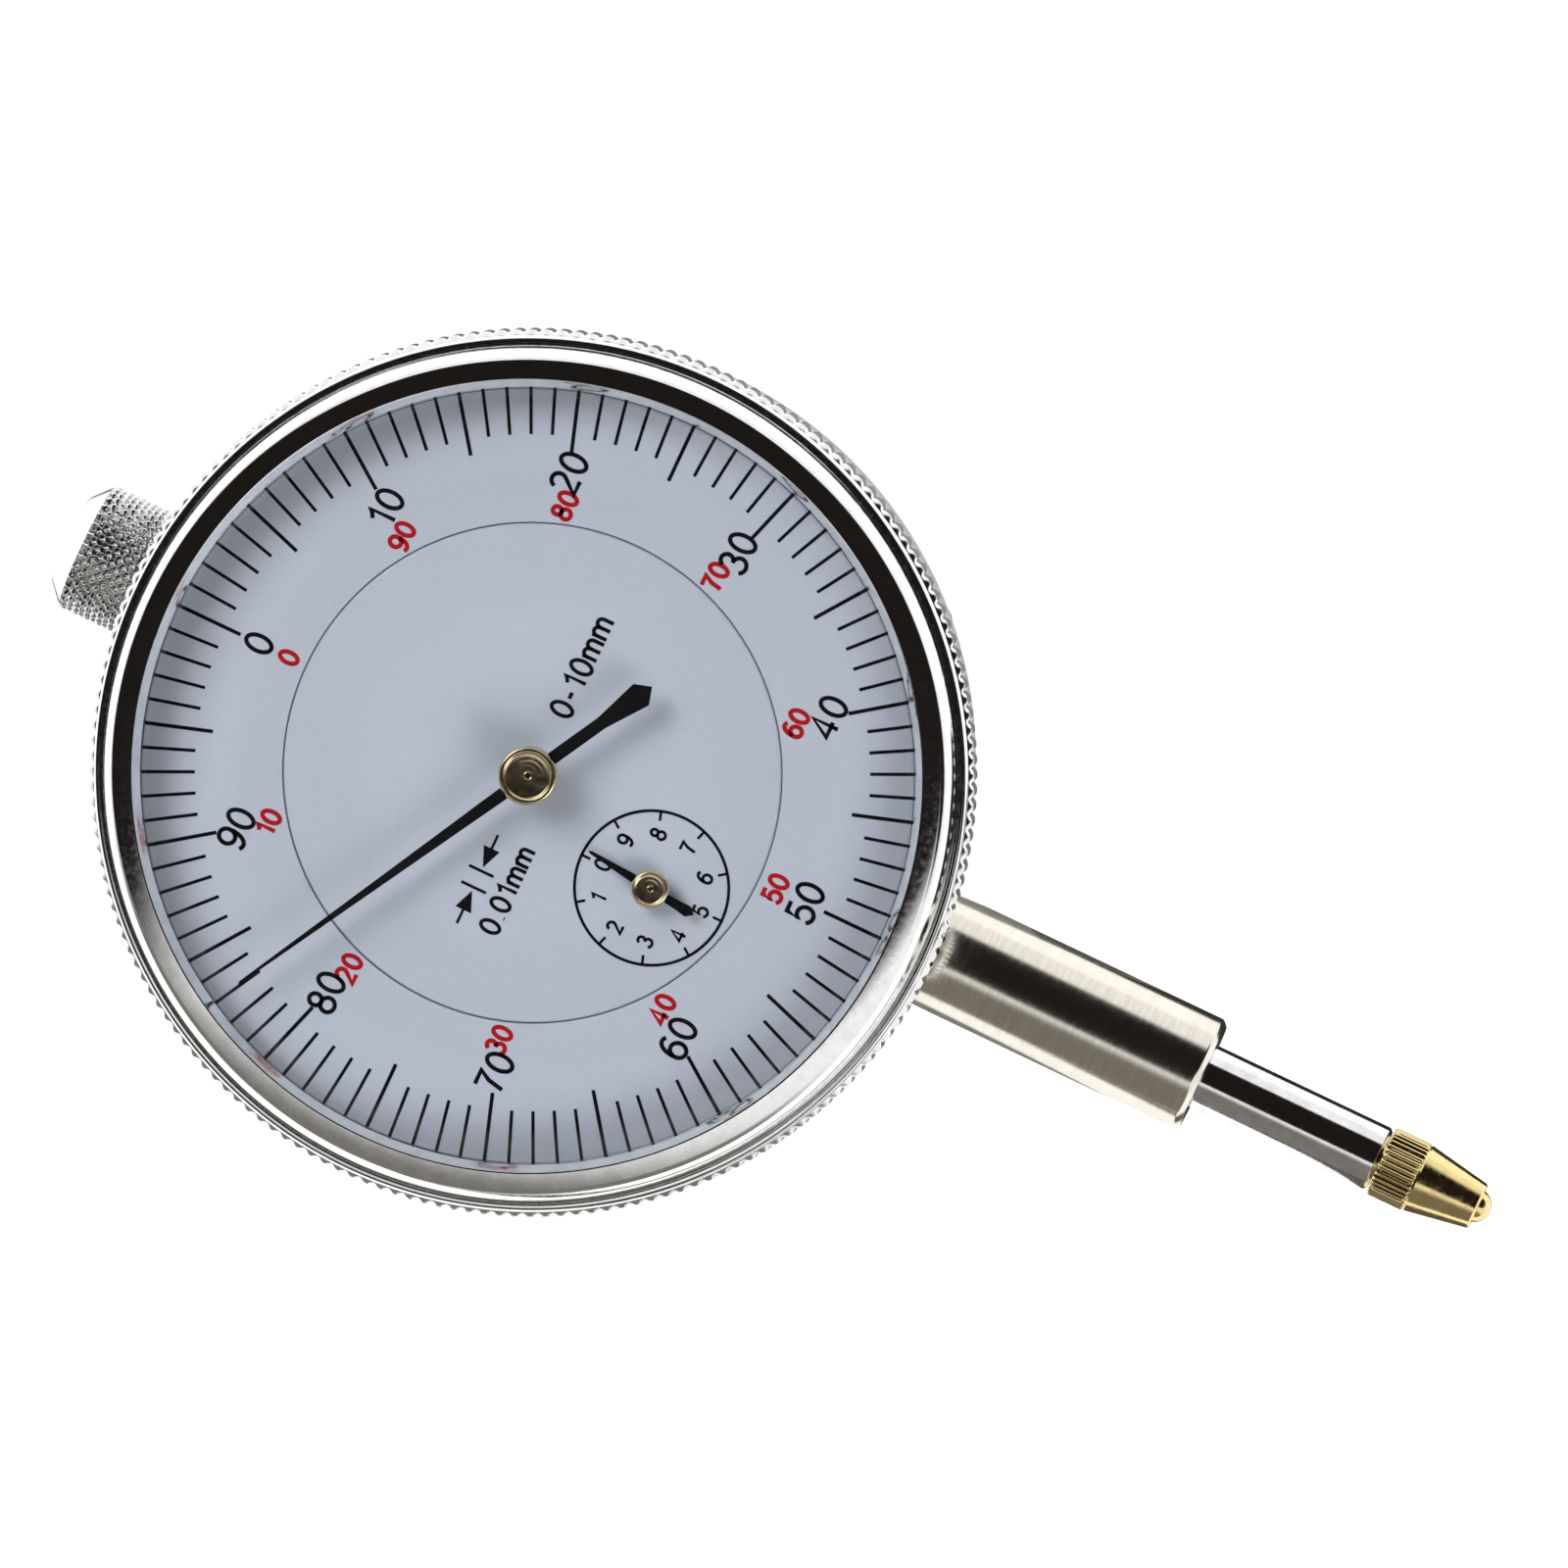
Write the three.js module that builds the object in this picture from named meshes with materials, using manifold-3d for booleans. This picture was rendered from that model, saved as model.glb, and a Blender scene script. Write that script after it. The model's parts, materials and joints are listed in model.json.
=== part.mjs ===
import * as THREE from "three";
import { mergeVertices } from "three/addons/utils/BufferGeometryUtils.js";
import Module from "manifold-3d";

const wasm = await Module();
wasm.setup();

// Millimetres. +Z runs up the spindle axis, the dial faces -Y and +X is to the right of the dial.
// The origin is the middle of the stem's clamping length, on the spindle axis.
const DIAL_Z = 39; // height of the dial centre above the origin

// Bezel, crystal and dial
const DIAL_Y = -9.5;
const KNURL_R = 29.5;
const LIP_R = 25.8;
const DISC_R = 16.5;

// Case
const CASE_R = 28.2;
const CASE_BORE_R = 25.2;
const NECK_R = 27.2;
const CASE_BACK_Y = 8;
const COVER_SCREW_R = 26.7;

// Stem, spindle and contact point
const STEM_R = 4;
const STEM_END_Z = -9.6;
const BORE_R = 2.3;
const SPINDLE_R = 2.25;
const SPINDLE_END_Z = -22.6;
const SPINDLE_TOP_Z = DIAL_Z + 23.6;
const TRAVEL = 10.4;
const CAP_R = 4.5;
const CAP_TOP_Z = DIAL_Z + 35.2;

// Gear train: rack, 16-tooth pinion, 100-tooth gears, 10-tooth centre pinion
const RACK_PITCH = 0.625;
const RACK_MODULE = RACK_PITCH / Math.PI;
const RACK_PINION_TEETH = 16;
const MODULE = 0.2;
const GEAR_TEETH = 100;
const PINION_TEETH = 10;
const PINION_SHIFT = 0.45;
const PRESSURE = (20 * Math.PI) / 180;
const BACKLASH = 0.03;
const GEAR_X = 3.5; // the two 100-tooth arbors stand at -GEAR_X and +GEAR_X
const GEAR_Z = Math.sqrt((MODULE * (GEAR_TEETH + PINION_TEETH) / 2) ** 2 - GEAR_X ** 2);
const RACK_LINE_X = -GEAR_X + (RACK_MODULE * RACK_PINION_TEETH) / 2;
const PIN_Z = 4; // guide pin above the dial centre, spindle out

// Movement plates and what stands on them, as y ranges and (x, z) places about the dial centre
const FRONT_PLATE = [-7.6, -6.6];
const BACK_PLATE = [3.2, 4.2];
const POST_FOOT_Y = -6.55; // pillars and posts stand just clear of the front plate
const PLATE_FIXING_R = 23.6;
const PLATE_FIXING_DEGREES = [20, 140, 230];
const PILLARS = [-46.5, 9.5, 133.5, 189.5].map((degrees) => onCircle(18, degrees));
const BRIDGE_POSTS = [[-9, 3], [9, -3]];
const DIAL_FOOT_X = 12;
const ARBOR_HOLE_R = 0.55;

// Springs
const SPRING_Y = 5.6;
const ANCHOR_Z = -16;
const STUD_ANGLE = (20 * Math.PI) / 180;

// Back
const COVER_TOP_Y = 9.4;
const LUG_SCREW_Z = 7.5;

// Hands
const SHORT_OF_ZERO = 0.169; // turns of the main hand before dial zero with the spindle out
const MAIN_HAND = {
  tip: 23.9, tipHalf: 0.08, armHalf: 0.36, bossR: 1.7, neckEnd: 6, tailHalf: 0.82, flareEnd: 9.2, tail: 10.1,
};
const SMALL_HAND = {
  tip: 4.83, tipHalf: 0.12, armHalf: 0.28, bossR: 1.1, neckEnd: 1.8, tailHalf: 0.36, flareEnd: 2.9, tail: 3.35,
};
const TO_PINION = Math.atan2(GEAR_Z, GEAR_X); // direction from the rack gear to the centre pinion

const root = new THREE.Group();
root.name = "dial_indicator";
const dialGroup = new THREE.Group();
dialGroup.name = "dial_centre";
dialGroup.position.z = DIAL_Z;
root.add(dialGroup);

const STEEL = { color: 0xb9bcc0, metalness: 0.9, roughness: 0.3 };
const CHROME = { color: 0xd8dadd, metalness: 1, roughness: 0.12 };
const BRASS = { color: 0xb5954f, metalness: 0.9, roughness: 0.3 };
const BLACK = { color: 0x141414, metalness: 0, roughness: 0.5 };
const WHITE = { color: 0xdfe4ea, metalness: 0, roughness: 0.6 };
const ALLOY = { color: 0xa9acb0, metalness: 0.7, roughness: 0.4 };
const CLEAR = { color: 0xffffff, metalness: 0, roughness: 0.05, transparent: true, opacity: 0.35 };

// Keep only positions, weld them, drop collapsed triangles and turn the faces outwards.
function closed(geometry) {
  const bare = new THREE.BufferGeometry();
  bare.setAttribute("position", geometry.getAttribute("position").clone());
  if (geometry.index) bare.setIndex(geometry.index.clone());
  const welded = mergeVertices(bare, 1e-4);
  const position = welded.getAttribute("position");
  const index = welded.index.array;
  const kept = [];
  let volume = 0;
  const [a, b, c] = [new THREE.Vector3(), new THREE.Vector3(), new THREE.Vector3()];
  for (let i = 0; i < index.length; i += 3) {
    const [p, q, r] = [index[i], index[i + 1], index[i + 2]];
    if (p === q || q === r || r === p) continue;
    kept.push(p, q, r);
    a.fromBufferAttribute(position, p);
    b.fromBufferAttribute(position, q);
    c.fromBufferAttribute(position, r);
    volume += a.dot(b.cross(c));
  }
  if (volume < 0) kept.reverse();
  welded.setIndex(kept);
  return welded;
}

function toManifold(geometry) {
  const solid = closed(geometry);
  return new wasm.Manifold(new wasm.Mesh({
    numProp: 3,
    vertProperties: new Float32Array(solid.getAttribute("position").array),
    triVerts: new Uint32Array(solid.index.array),
  }));
}

function fromManifold(manifold) {
  const mesh = manifold.getMesh();
  const geometry = new THREE.BufferGeometry();
  geometry.setAttribute("position", new THREE.BufferAttribute(mesh.vertProperties, 3));
  geometry.setIndex(new THREE.BufferAttribute(mesh.triVerts, 1));
  return geometry;
}

function subtract(body, cutters) {
  let result = toManifold(body);
  for (const cutter of cutters) result = result.subtract(toManifold(cutter));
  return fromManifold(result);
}

function join(first, second) {
  return fromManifold(toManifold(first).add(toManifold(second)));
}

// Turned about Y (the dial axis): profile points are [radius, y].
function turnedY(profile, segments = 48) {
  return closed(new THREE.LatheGeometry(profile.map(([r, y]) => new THREE.Vector2(r, y)), segments));
}

// Turned about Z (the spindle axis): profile points are [radius, z].
function turnedZ(profile, segments = 24) {
  return turnedY(profile, segments).rotateX(Math.PI / 2);
}

function tubeProfile(inner, outer, low, high) {
  return [[inner, low], [outer, low], [outer, high], [inner, high], [inner, low]];
}

function rodProfile(radius, low, high) {
  return [[0, low], [radius, low], [radius, high], [0, high]];
}

// A cylinder along Y standing at (x, z).
function rodY(radius, low, high, x = 0, z = 0, segments = 12) {
  return turnedY(rodProfile(radius, low, high), segments).translate(x, 0, z);
}

function circle(x, z, radius, segments = 12) {
  const points = [];
  for (let i = 0; i < segments; i++) {
    const angle = (i * 2 * Math.PI) / segments;
    points.push(new THREE.Vector2(x + radius * Math.cos(angle), z + radius * Math.sin(angle)));
  }
  return points;
}

// Extrude an outline drawn in (x, z) between two y planes, with holes.
function slab(outline, holes, low, high) {
  const shape = new THREE.Shape(outline);
  for (const hole of holes) shape.holes.push(new THREE.Path(hole));
  const geometry = new THREE.ExtrudeGeometry(shape, { depth: high - low, bevelEnabled: false });
  geometry.rotateX(Math.PI / 2);
  geometry.translate(0, high, 0);
  return closed(geometry);
}

function add(parent, name, geometry, look, x = 0, z = 0) {
  const mesh = new THREE.Mesh(geometry, new THREE.MeshStandardMaterial(look));
  mesh.name = name;
  mesh.position.set(x, 0, z);
  parent.add(mesh);
}

// Outline of an involute gear centred on the origin, one tooth pointing along angle `phase`.
function gearOutline(module, teeth, shift, phase, flankPoints) {
  const pitchR = (module * teeth) / 2;
  const baseR = pitchR * Math.cos(PRESSURE);
  const tipR = pitchR + module * (1 + shift);
  const rootR = pitchR - module * (1.25 - shift);
  const invPitch = Math.tan(PRESSURE) - PRESSURE;
  const halfPitch = Math.PI / (2 * teeth) + (2 * shift * Math.tan(PRESSURE)) / teeth;
  const halfTooth = halfPitch - BACKLASH / 4 / pitchR;
  const flank = [];
  for (let i = 0; i < flankPoints; i++) {
    const r = rootR + ((tipR - rootR) * i) / (flankPoints - 1);
    const alpha = Math.acos(Math.min(1, baseR / r));
    flank.push([r, halfTooth + invPitch - (Math.tan(alpha) - alpha)]);
  }
  const points = [];
  for (let k = 0; k < teeth; k++) {
    const centre = phase + (k * 2 * Math.PI) / teeth;
    for (const [r, half] of flank) points.push(polar(r, centre - half));
    for (const [r, half] of [...flank].reverse()) points.push(polar(r, centre + half));
  }
  return points;
}

function polar(r, angle) {
  return new THREE.Vector2(r * Math.cos(angle), r * Math.sin(angle));
}

// A slotted screw along Y whose head faces +Y, shank from tipY to headY, head above.
function screw(shankR, headR, tipY, headY, headHeight) {
  const top = headY + headHeight;
  const profile = [[0, tipY], [shankR, tipY], [shankR, headY], [headR, headY], [headR, top], [0, top]];
  const slot = new THREE.BoxGeometry(headR * 2.4, headHeight, headR * 0.3);
  slot.translate(0, top, 0);
  return subtract(turnedY(profile, 12), [slot]);
}

function onCircle(radius, degrees) {
  const angle = (degrees * Math.PI) / 180;
  return [radius * Math.cos(angle), radius * Math.sin(angle)];
}

function buildCase() {
  const body = turnedY([
    [CASE_BORE_R, CASE_BACK_Y], [CASE_R - 0.5, CASE_BACK_Y], [CASE_R, CASE_BACK_Y - 0.5], [CASE_R, -6.9],
    [NECK_R, -6.9], [NECK_R, -7.4], [26.6, -7.4], [26.6, -8.1], [NECK_R, -8.1], [NECK_R, -8.4],
    [22.3, -8.4], [22.3, -7.7], [CASE_BORE_R, -7.7], [CASE_BORE_R, CASE_BACK_Y],
  ]);
  const cutters = [
    turnedZ(rodProfile(STEM_R + 0.1, -32, -20)),
    turnedZ(rodProfile(3.4, 20, 32)),
  ];
  for (let i = 0; i < 4; i++) {
    cutters.push(rodY(0.75, 4, CASE_BACK_Y + 1, ...onCircle(COVER_SCREW_R, 45 + 90 * i)));
  }
  for (const degrees of PLATE_FIXING_DEGREES) {
    cutters.push(rodY(0.75, -9, -7, ...onCircle(PLATE_FIXING_R, degrees)));
  }
  add(dialGroup, "case_body", subtract(body, cutters), ALLOY);
}

function buildStem() {
  const c = 0.35;
  const end = STEM_END_Z;
  const top = DIAL_Z - 22;
  add(root, "stem", turnedZ([
    [BORE_R, end + 0.2], [BORE_R + 0.2, end], [STEM_R - c, end], [STEM_R, end + c], [STEM_R, top],
    [BORE_R, top], [BORE_R, end + 0.2],
  ], 32), STEEL);
  const nut = turnedZ(rodProfile(5.6, -23.9, -22.3), 6);
  add(dialGroup, "stem_nut", subtract(nut, [turnedZ(rodProfile(STEM_R + 0.1, -25, -21))]), STEEL);
  add(dialGroup, "upper_bushing", turnedZ([
    [BORE_R, 22.3], [4.6, 22.3], [4.6, 23.6], [3.3, 23.6], [3.3, 32.6], [BORE_R, 32.6], [BORE_R, 22.3],
  ]), STEEL);
  const capTop = CAP_TOP_Z - DIAL_Z;
  add(dialGroup, "dust_cap", turnedZ([
    [0, capTop], [CAP_R - 1.5, capTop], [CAP_R, capTop - 1.2], [CAP_R, 28.6], [3.4, 28.6],
    [3.4, capTop - 1.6], [2.6, capTop - 0.8], [0, capTop - 0.8],
  ]), CHROME);
}

function buildRearCover() {
  const low = CASE_BACK_Y + 0.1;
  const high = COVER_TOP_Y;
  const cutters = [];
  for (let i = 0; i < 4; i++) {
    const [x, z] = onCircle(COVER_SCREW_R, 45 + 90 * i);
    cutters.push(rodY(0.8, 7, 10, x, z));
    cutters.push(rodY(1.5, 8.75, 10, x, z));
    add(dialGroup, `cover_screw_${i + 1}`, screw(0.7, 1.4, 4.6, 8.8, 0.55), STEEL, x, z);
  }
  for (const z of [-LUG_SCREW_Z, LUG_SCREW_Z]) cutters.push(rodY(0.85, 7, 10, 0, z));
  const cover = turnedY([[0, low], [28, low], [28, high - 0.5], [27.5, high], [0, high]]);
  add(dialGroup, "rear_cover", subtract(cover, cutters), ALLOY);
}

function buildLug() {
  const padLow = COVER_TOP_Y + 0.05;
  const padHigh = 10.6;
  const holeY = 15.2;
  const outline = [new THREE.Vector2(-5.5, padLow + 0.5)];
  for (let i = 0; i <= 16; i++) {
    const angle = Math.PI - (i * Math.PI) / 16;
    outline.push(new THREE.Vector2(5.5 * Math.cos(angle), holeY + 5.5 * Math.sin(angle)));
  }
  outline.push(new THREE.Vector2(5.5, padLow + 0.5));
  const shape = new THREE.Shape(outline);
  shape.holes.push(new THREE.Path(circle(0, holeY, 3.25, 24)));
  const tab = new THREE.ExtrudeGeometry(shape, { depth: 5, bevelEnabled: false });
  tab.translate(0, 0, -2.5);
  tab.rotateY(Math.PI / 2);
  const pad = turnedY(rodProfile(9.5, padLow, padHigh), 32);
  const holes = [];
  for (const [i, z] of [[1, -LUG_SCREW_Z], [2, LUG_SCREW_Z]]) {
    holes.push(rodY(0.85, 9, 11, 0, z));
    add(dialGroup, `lug_screw_${i}`, screw(0.75, 1.4, 8.4, 10.65, 0.7), STEEL, 0, z);
  }
  add(dialGroup, "mounting_lug", subtract(join(pad, tab), holes), STEEL);
}

function buildPlates() {
  const arborHoles = [circle(-GEAR_X, -GEAR_Z, ARBOR_HOLE_R), circle(GEAR_X, GEAR_Z, ARBOR_HOLE_R)];
  const frontHoles = [circle(0, 0, 0.5), ...arborHoles];
  for (const x of [-DIAL_FOOT_X, DIAL_FOOT_X]) frontHoles.push(circle(x, 0, 0.7, 12));
  for (const [i, degrees] of PLATE_FIXING_DEGREES.entries()) {
    const [x, z] = onCircle(PLATE_FIXING_R, degrees);
    frontHoles.push(circle(x, z, 0.8));
    add(dialGroup, `plate_fixing_${i + 1}`, screw(0.7, 1.2, -8.3, POST_FOOT_Y, 0.7), STEEL, x, z);
  }
  add(dialGroup, "front_plate", slab(circle(0, 0, 24.9, 40), frontHoles, ...FRONT_PLATE), BRASS);

  const backHoles = [...arborHoles, circle(0, ANCHOR_Z, 0.75), guideSlot()];
  for (const [i, [x, z]] of PILLARS.entries()) {
    backHoles.push(circle(x, z, 0.8));
    const pillar = blindPost(0.75, 1.5, POST_FOOT_Y, BACK_PLATE[0] - 0.05, -0.9);
    add(dialGroup, `pillar_${i + 1}`, pillar, BRASS, x, z);
    add(dialGroup, `plate_screw_${i + 1}`, screw(0.7, 1.35, 0, BACK_PLATE[1] + 0.05, 0.8), STEEL, x, z);
  }
  add(dialGroup, "back_plate", slab(circle(0, 0, 20.5, 40), backHoles, ...BACK_PLATE), BRASS);
}

// A post along Y with a blind hole from its +Y end down to floorY.
function blindPost(innerR, outerR, low, high, floorY) {
  return turnedY([
    [0, low], [outerR, low], [outerR, high], [innerR, high], [innerR, floorY], [0, floorY],
  ], 16);
}

// The slot in the back plate that the guide pin runs in.
function guideSlot() {
  const half = 0.8;
  const low = PIN_Z - 0.9 + half;
  const high = PIN_Z + TRAVEL + 0.9 - half;
  const points = [];
  for (let i = 0; i <= 8; i++) points.push(polar(half, Math.PI + (i * Math.PI) / 8).add({ x: 0, y: low }));
  for (let i = 0; i <= 8; i++) points.push(polar(half, (i * Math.PI) / 8).add({ x: 0, y: high }));
  return points;
}

function buildBridge() {
  const reach = 10.6;
  const length = Math.hypot(...BRIDGE_POSTS[0]);
  const along = new THREE.Vector2(BRIDGE_POSTS[1][0] / length, BRIDGE_POSTS[1][1] / length);
  const across = new THREE.Vector2(-along.y, along.x);
  const corner = (s, t) => along.clone().multiplyScalar(s).addScaledVector(across, t);
  const outline = [corner(-reach, -1.6), corner(reach, -1.6), corner(reach, 1.6), corner(-reach, 1.6)];
  const holes = [circle(0, 0, 0.5, 16)];
  for (const [i, [x, z]] of BRIDGE_POSTS.entries()) {
    holes.push(circle(x, z, 0.65, 12));
    const post = blindPost(0.65, 1.2, POST_FOOT_Y, -3.5, -5.6);
    add(dialGroup, `bridge_post_${i + 1}`, post, BRASS, x, z);
    add(dialGroup, `bridge_screw_${i + 1}`, screw(0.6, 1.1, -5.3, -2.7, 0.6), STEEL, x, z);
  }
  add(dialGroup, "centre_bridge", slab(outline, holes, -3.45, -2.75), BRASS);
}

function buildDialParts() {
  const holes = [circle(0, 0, 1.2, 16), circle(-GEAR_X, -GEAR_Z, 0.9)];
  let disc = slab(circle(0, 0, DISC_R, 48), holes, DIAL_Y, DIAL_Y + 0.6);
  for (const x of [-DIAL_FOOT_X, DIAL_FOOT_X]) disc = join(disc, rodY(0.6, DIAL_Y + 0.3, -6.8, x, 0, 12));
  add(dialGroup, "inner_dial_disc", disc, WHITE);
  add(dialGroup, "bezel_spring", bezelSpring(), STEEL);
  add(dialGroup, "bezel", turnedY([
    [LIP_R, -12.7], [LIP_R, -12.95], [26.35, -13.5], [26.7, -13.5], [27.5, -13.2], [28.1, -12.5],
    [28.5, -11.2], [28.65, -11], [28.75, -11.1], [29.1, -11], [KNURL_R, -10.4], [KNURL_R, -7.7],
    [29.1, -7.3], [27.45, -7.3], [27.45, -8.45], [26.9, -8.45], [26.9, -12.5], [26.0, -12.5],
    [LIP_R, -12.7],
  ]), CHROME);
  add(dialGroup, "crystal", turnedY([
    [0, -13.95], [25.0, -13.95], [25.5, -13.6], [25.6, -12.3], [26.7, -12.3], [26.7, -11.6],
    [24.9, -11.6], [24.7, -12.9], [24.3, -13.05], [0, -13.05],
  ]), CLEAR);
  add(dialGroup, "crystal_ring", turnedY(tubeProfile(25.9, 26.7, -11.45, -10.4)), BLACK);
  const ring = tubeProfile(DISC_R + 0.2, 26.7, DIAL_Y, DIAL_Y + 0.5);
  add(dialGroup, "graduated_dial", turnedY(ring), WHITE);
  add(dialGroup, "dial_retaining_ring", turnedY(tubeProfile(25.4, 26.7, -8.95, -8.5)), STEEL);
}

// An open wire ring in the neck's groove that gives the bezel its friction.
function bezelSpring() {
  const points = [];
  for (let i = 0; i <= 40; i++) {
    const angle = ((100 + (340 * i) / 40) * Math.PI) / 180;
    points.push(new THREE.Vector3(26.95 * Math.cos(angle), -7.75, 26.95 * Math.sin(angle)));
  }
  return wire(points, 0.28, 40, 4);
}

function wire(points, radius, steps, sides) {
  const section = new THREE.Shape();
  for (let i = 0; i < sides; i++) {
    const p = polar(radius, (i * 2 * Math.PI) / sides);
    if (i === 0) section.moveTo(p.x, p.y);
    else section.lineTo(p.x, p.y);
  }
  const extrudePath = new THREE.CatmullRomCurve3(points);
  return closed(new THREE.ExtrudeGeometry(section, { steps, extrudePath, bevelEnabled: false }));
}

function buildSpindle() {
  const end = SPINDLE_END_Z;
  const top = SPINDLE_TOP_Z;
  const body = turnedZ([
    [0, top], [SPINDLE_R - 0.4, top], [SPINDLE_R, top - 0.4], [SPINDLE_R, end + 0.2],
    [SPINDLE_R - 0.2, end], [1.3, end], [1.3, end + 5.6], [0, end + 5.6],
  ], 32);
  const pinHole = rodY(0.8, 0.8, 4, 0, DIAL_Z + PIN_Z);
  add(root, "spindle", subtract(body, [rackCutter(), pinHole]), CHROME);
  const collar = end - 0.1;
  add(root, "contact_point", turnedZ([
    [0, end + 5], [1.2, end + 5], [1.2, collar], [2.3, collar], [2.42, collar - 0.12],
    [2.42, collar - 2.6], [2.35, collar - 2.75], [1.55, collar - 7.2], [1.35, collar - 7.45],
    [1.0, collar - 7.75], [0.5, collar - 7.95], [0, collar - 8],
  ]), BRASS);
  const head = [[0, 1.2], [0.75, 1.2], [0.75, 6.5], [1.15, 6.5], [1.15, 7.1], [0, 7.1]];
  add(dialGroup, "guide_pin", turnedY(head, 16), STEEL, 0, PIN_Z);
}

// Everything left of the rack teeth: a comb whose teeth are the rack's tooth spaces.
function rackCutter() {
  const first = -21;
  const last = 4;
  const tipX = RACK_LINE_X - RACK_MODULE;
  const rootX = RACK_LINE_X + 1.25 * RACK_MODULE;
  const pinionZ = DIAL_Z - GEAR_Z;
  const tipHalf = RACK_PITCH / 4 + RACK_MODULE * Math.tan(PRESSURE) + BACKLASH / 4;
  const rootHalf = RACK_PITCH / 4 - 1.25 * RACK_MODULE * Math.tan(PRESSURE) + BACKLASH / 4;
  const low = pinionZ + (first - 0.5) * RACK_PITCH;
  const high = pinionZ + (last + 0.5) * RACK_PITCH;
  const points = [new THREE.Vector2(-3, low), new THREE.Vector2(tipX, low)];
  for (let k = first; k <= last; k++) {
    const z = pinionZ + k * RACK_PITCH;
    points.push(new THREE.Vector2(tipX, z - tipHalf), new THREE.Vector2(rootX, z - rootHalf));
    points.push(new THREE.Vector2(rootX, z + rootHalf), new THREE.Vector2(tipX, z + tipHalf));
  }
  points.push(new THREE.Vector2(tipX, high), new THREE.Vector2(-3, high));
  return slab(points, [], -3, 3);
}

function buildArbors() {
  const rackArbor = rodY(0.5, -10.7, 4.1, 0, 0, 16);
  const rackTeeth = slab(gearOutline(RACK_MODULE, RACK_PINION_TEETH, 0, 0, 5), [], -1.6, 1.6);
  add(dialGroup, "rack_pinion", join(rackArbor, rackTeeth), STEEL, -GEAR_X, -GEAR_Z);
  add(dialGroup, "rack_gear", bigGear(TO_PINION), BRASS, -GEAR_X, -GEAR_Z);
  const smallHub = hub(1.28, 0.7, -11.0, -10.45, -9.75, 0.55, -10.75);
  add(dialGroup, "small_hand_hub", smallHub, BRASS, -GEAR_X, -GEAR_Z);
  const smallHand = slab(handOutline(SMALL_HAND, 36 * SHORT_OF_ZERO), [circle(0, 0, 0.75)], -10.4, -10.15);
  add(dialGroup, "small_hand", smallHand, BLACK, -GEAR_X, -GEAR_Z);

  const centreArbor = rodY(0.45, -12.3, -2.85, 0, 0, 16);
  const space = TO_PINION + Math.PI + Math.PI / PINION_TEETH;
  const centreTeeth = slab(gearOutline(MODULE, PINION_TEETH, PINION_SHIFT, space, 6), [], -4.95, -3.75);
  add(dialGroup, "centre_pinion", join(centreArbor, centreTeeth), STEEL);
  add(dialGroup, "main_hand_hub", hub(1.98, 1.0, -12.8, -11.85, -10.95, 0.5, -12.4), BRASS);
  const mainHand = slab(handOutline(MAIN_HAND, -360 * SHORT_OF_ZERO), [circle(0, 0, 1.05)], -11.8, -11.5);
  add(dialGroup, "main_hand", mainHand, BLACK);

  add(dialGroup, "hairspring_arbor", rodY(0.5, -7.5, 4.1, 0, 0, 16), STEEL, GEAR_X, GEAR_Z);
  add(dialGroup, "hairspring_gear", bigGear(TO_PINION + Math.PI), BRASS, GEAR_X, GEAR_Z);
  const collet = turnedY(tubeProfile(0.55, 1.2, -6.3, -5.4), 20);
  add(dialGroup, "hairspring_collet", collet, BRASS, GEAR_X, GEAR_Z);
}

function bigGear(phase) {
  const holes = [circle(0, 0, ARBOR_HOLE_R)];
  for (let i = 0; i < 4; i++) holes.push(spokeWindow((i * Math.PI) / 2));
  return slab(gearOutline(MODULE, GEAR_TEETH, -PINION_SHIFT, phase, 2), holes, -4.6, -4.1);
}

// One of the four windows between the spokes of a 100-tooth gear.
function spokeWindow(start) {
  const points = [];
  for (let i = 0; i <= 6; i++) points.push(polar(8.3, start + THREE.MathUtils.lerp(0.12, 1.45, i / 6)));
  for (let i = 0; i <= 3; i++) points.push(polar(3, start + THREE.MathUtils.lerp(1.23, 0.34, i / 3)));
  return points;
}

// A hand's hub: head, neck below it, and a blind hole for the arbor.
function hub(headR, neckR, front, shoulder, back, boreR, boreEnd) {
  return turnedY([
    [0, front], [headR - 0.12, front], [headR, front + 0.12], [headR, shoulder], [neckR, shoulder],
    [neckR, back], [boreR, back], [boreR, boreEnd], [0, boreEnd],
  ], 20);
}

// A hand pointing `degrees` clockwise from dial zero: tapered arm, round boss, flared pointed tail.
function handOutline({ tip, tipHalf, armHalf, bossR, neckEnd, tailHalf, flareEnd, tail }, degrees) {
  const side = [[-tipHalf, tip - 2 * tipHalf], [-armHalf, bossR]];
  for (let i = 0; i <= 6; i++) {
    const { x, y } = polar(bossR, ((120 + i * 20) * Math.PI) / 180);
    side.push([x, y]);
  }
  side.push([-armHalf, -bossR], [-armHalf, -neckEnd], [-tailHalf, -flareEnd]);
  const mirrored = [...side].reverse().map(([x, y]) => [-x, y]);
  const turn = (-degrees * Math.PI) / 180;
  return [[0, tip], ...side, [0, -tail], ...mirrored].map(([x, y]) =>
    new THREE.Vector2(x, y).rotateAround(new THREE.Vector2(), turn));
}

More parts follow.
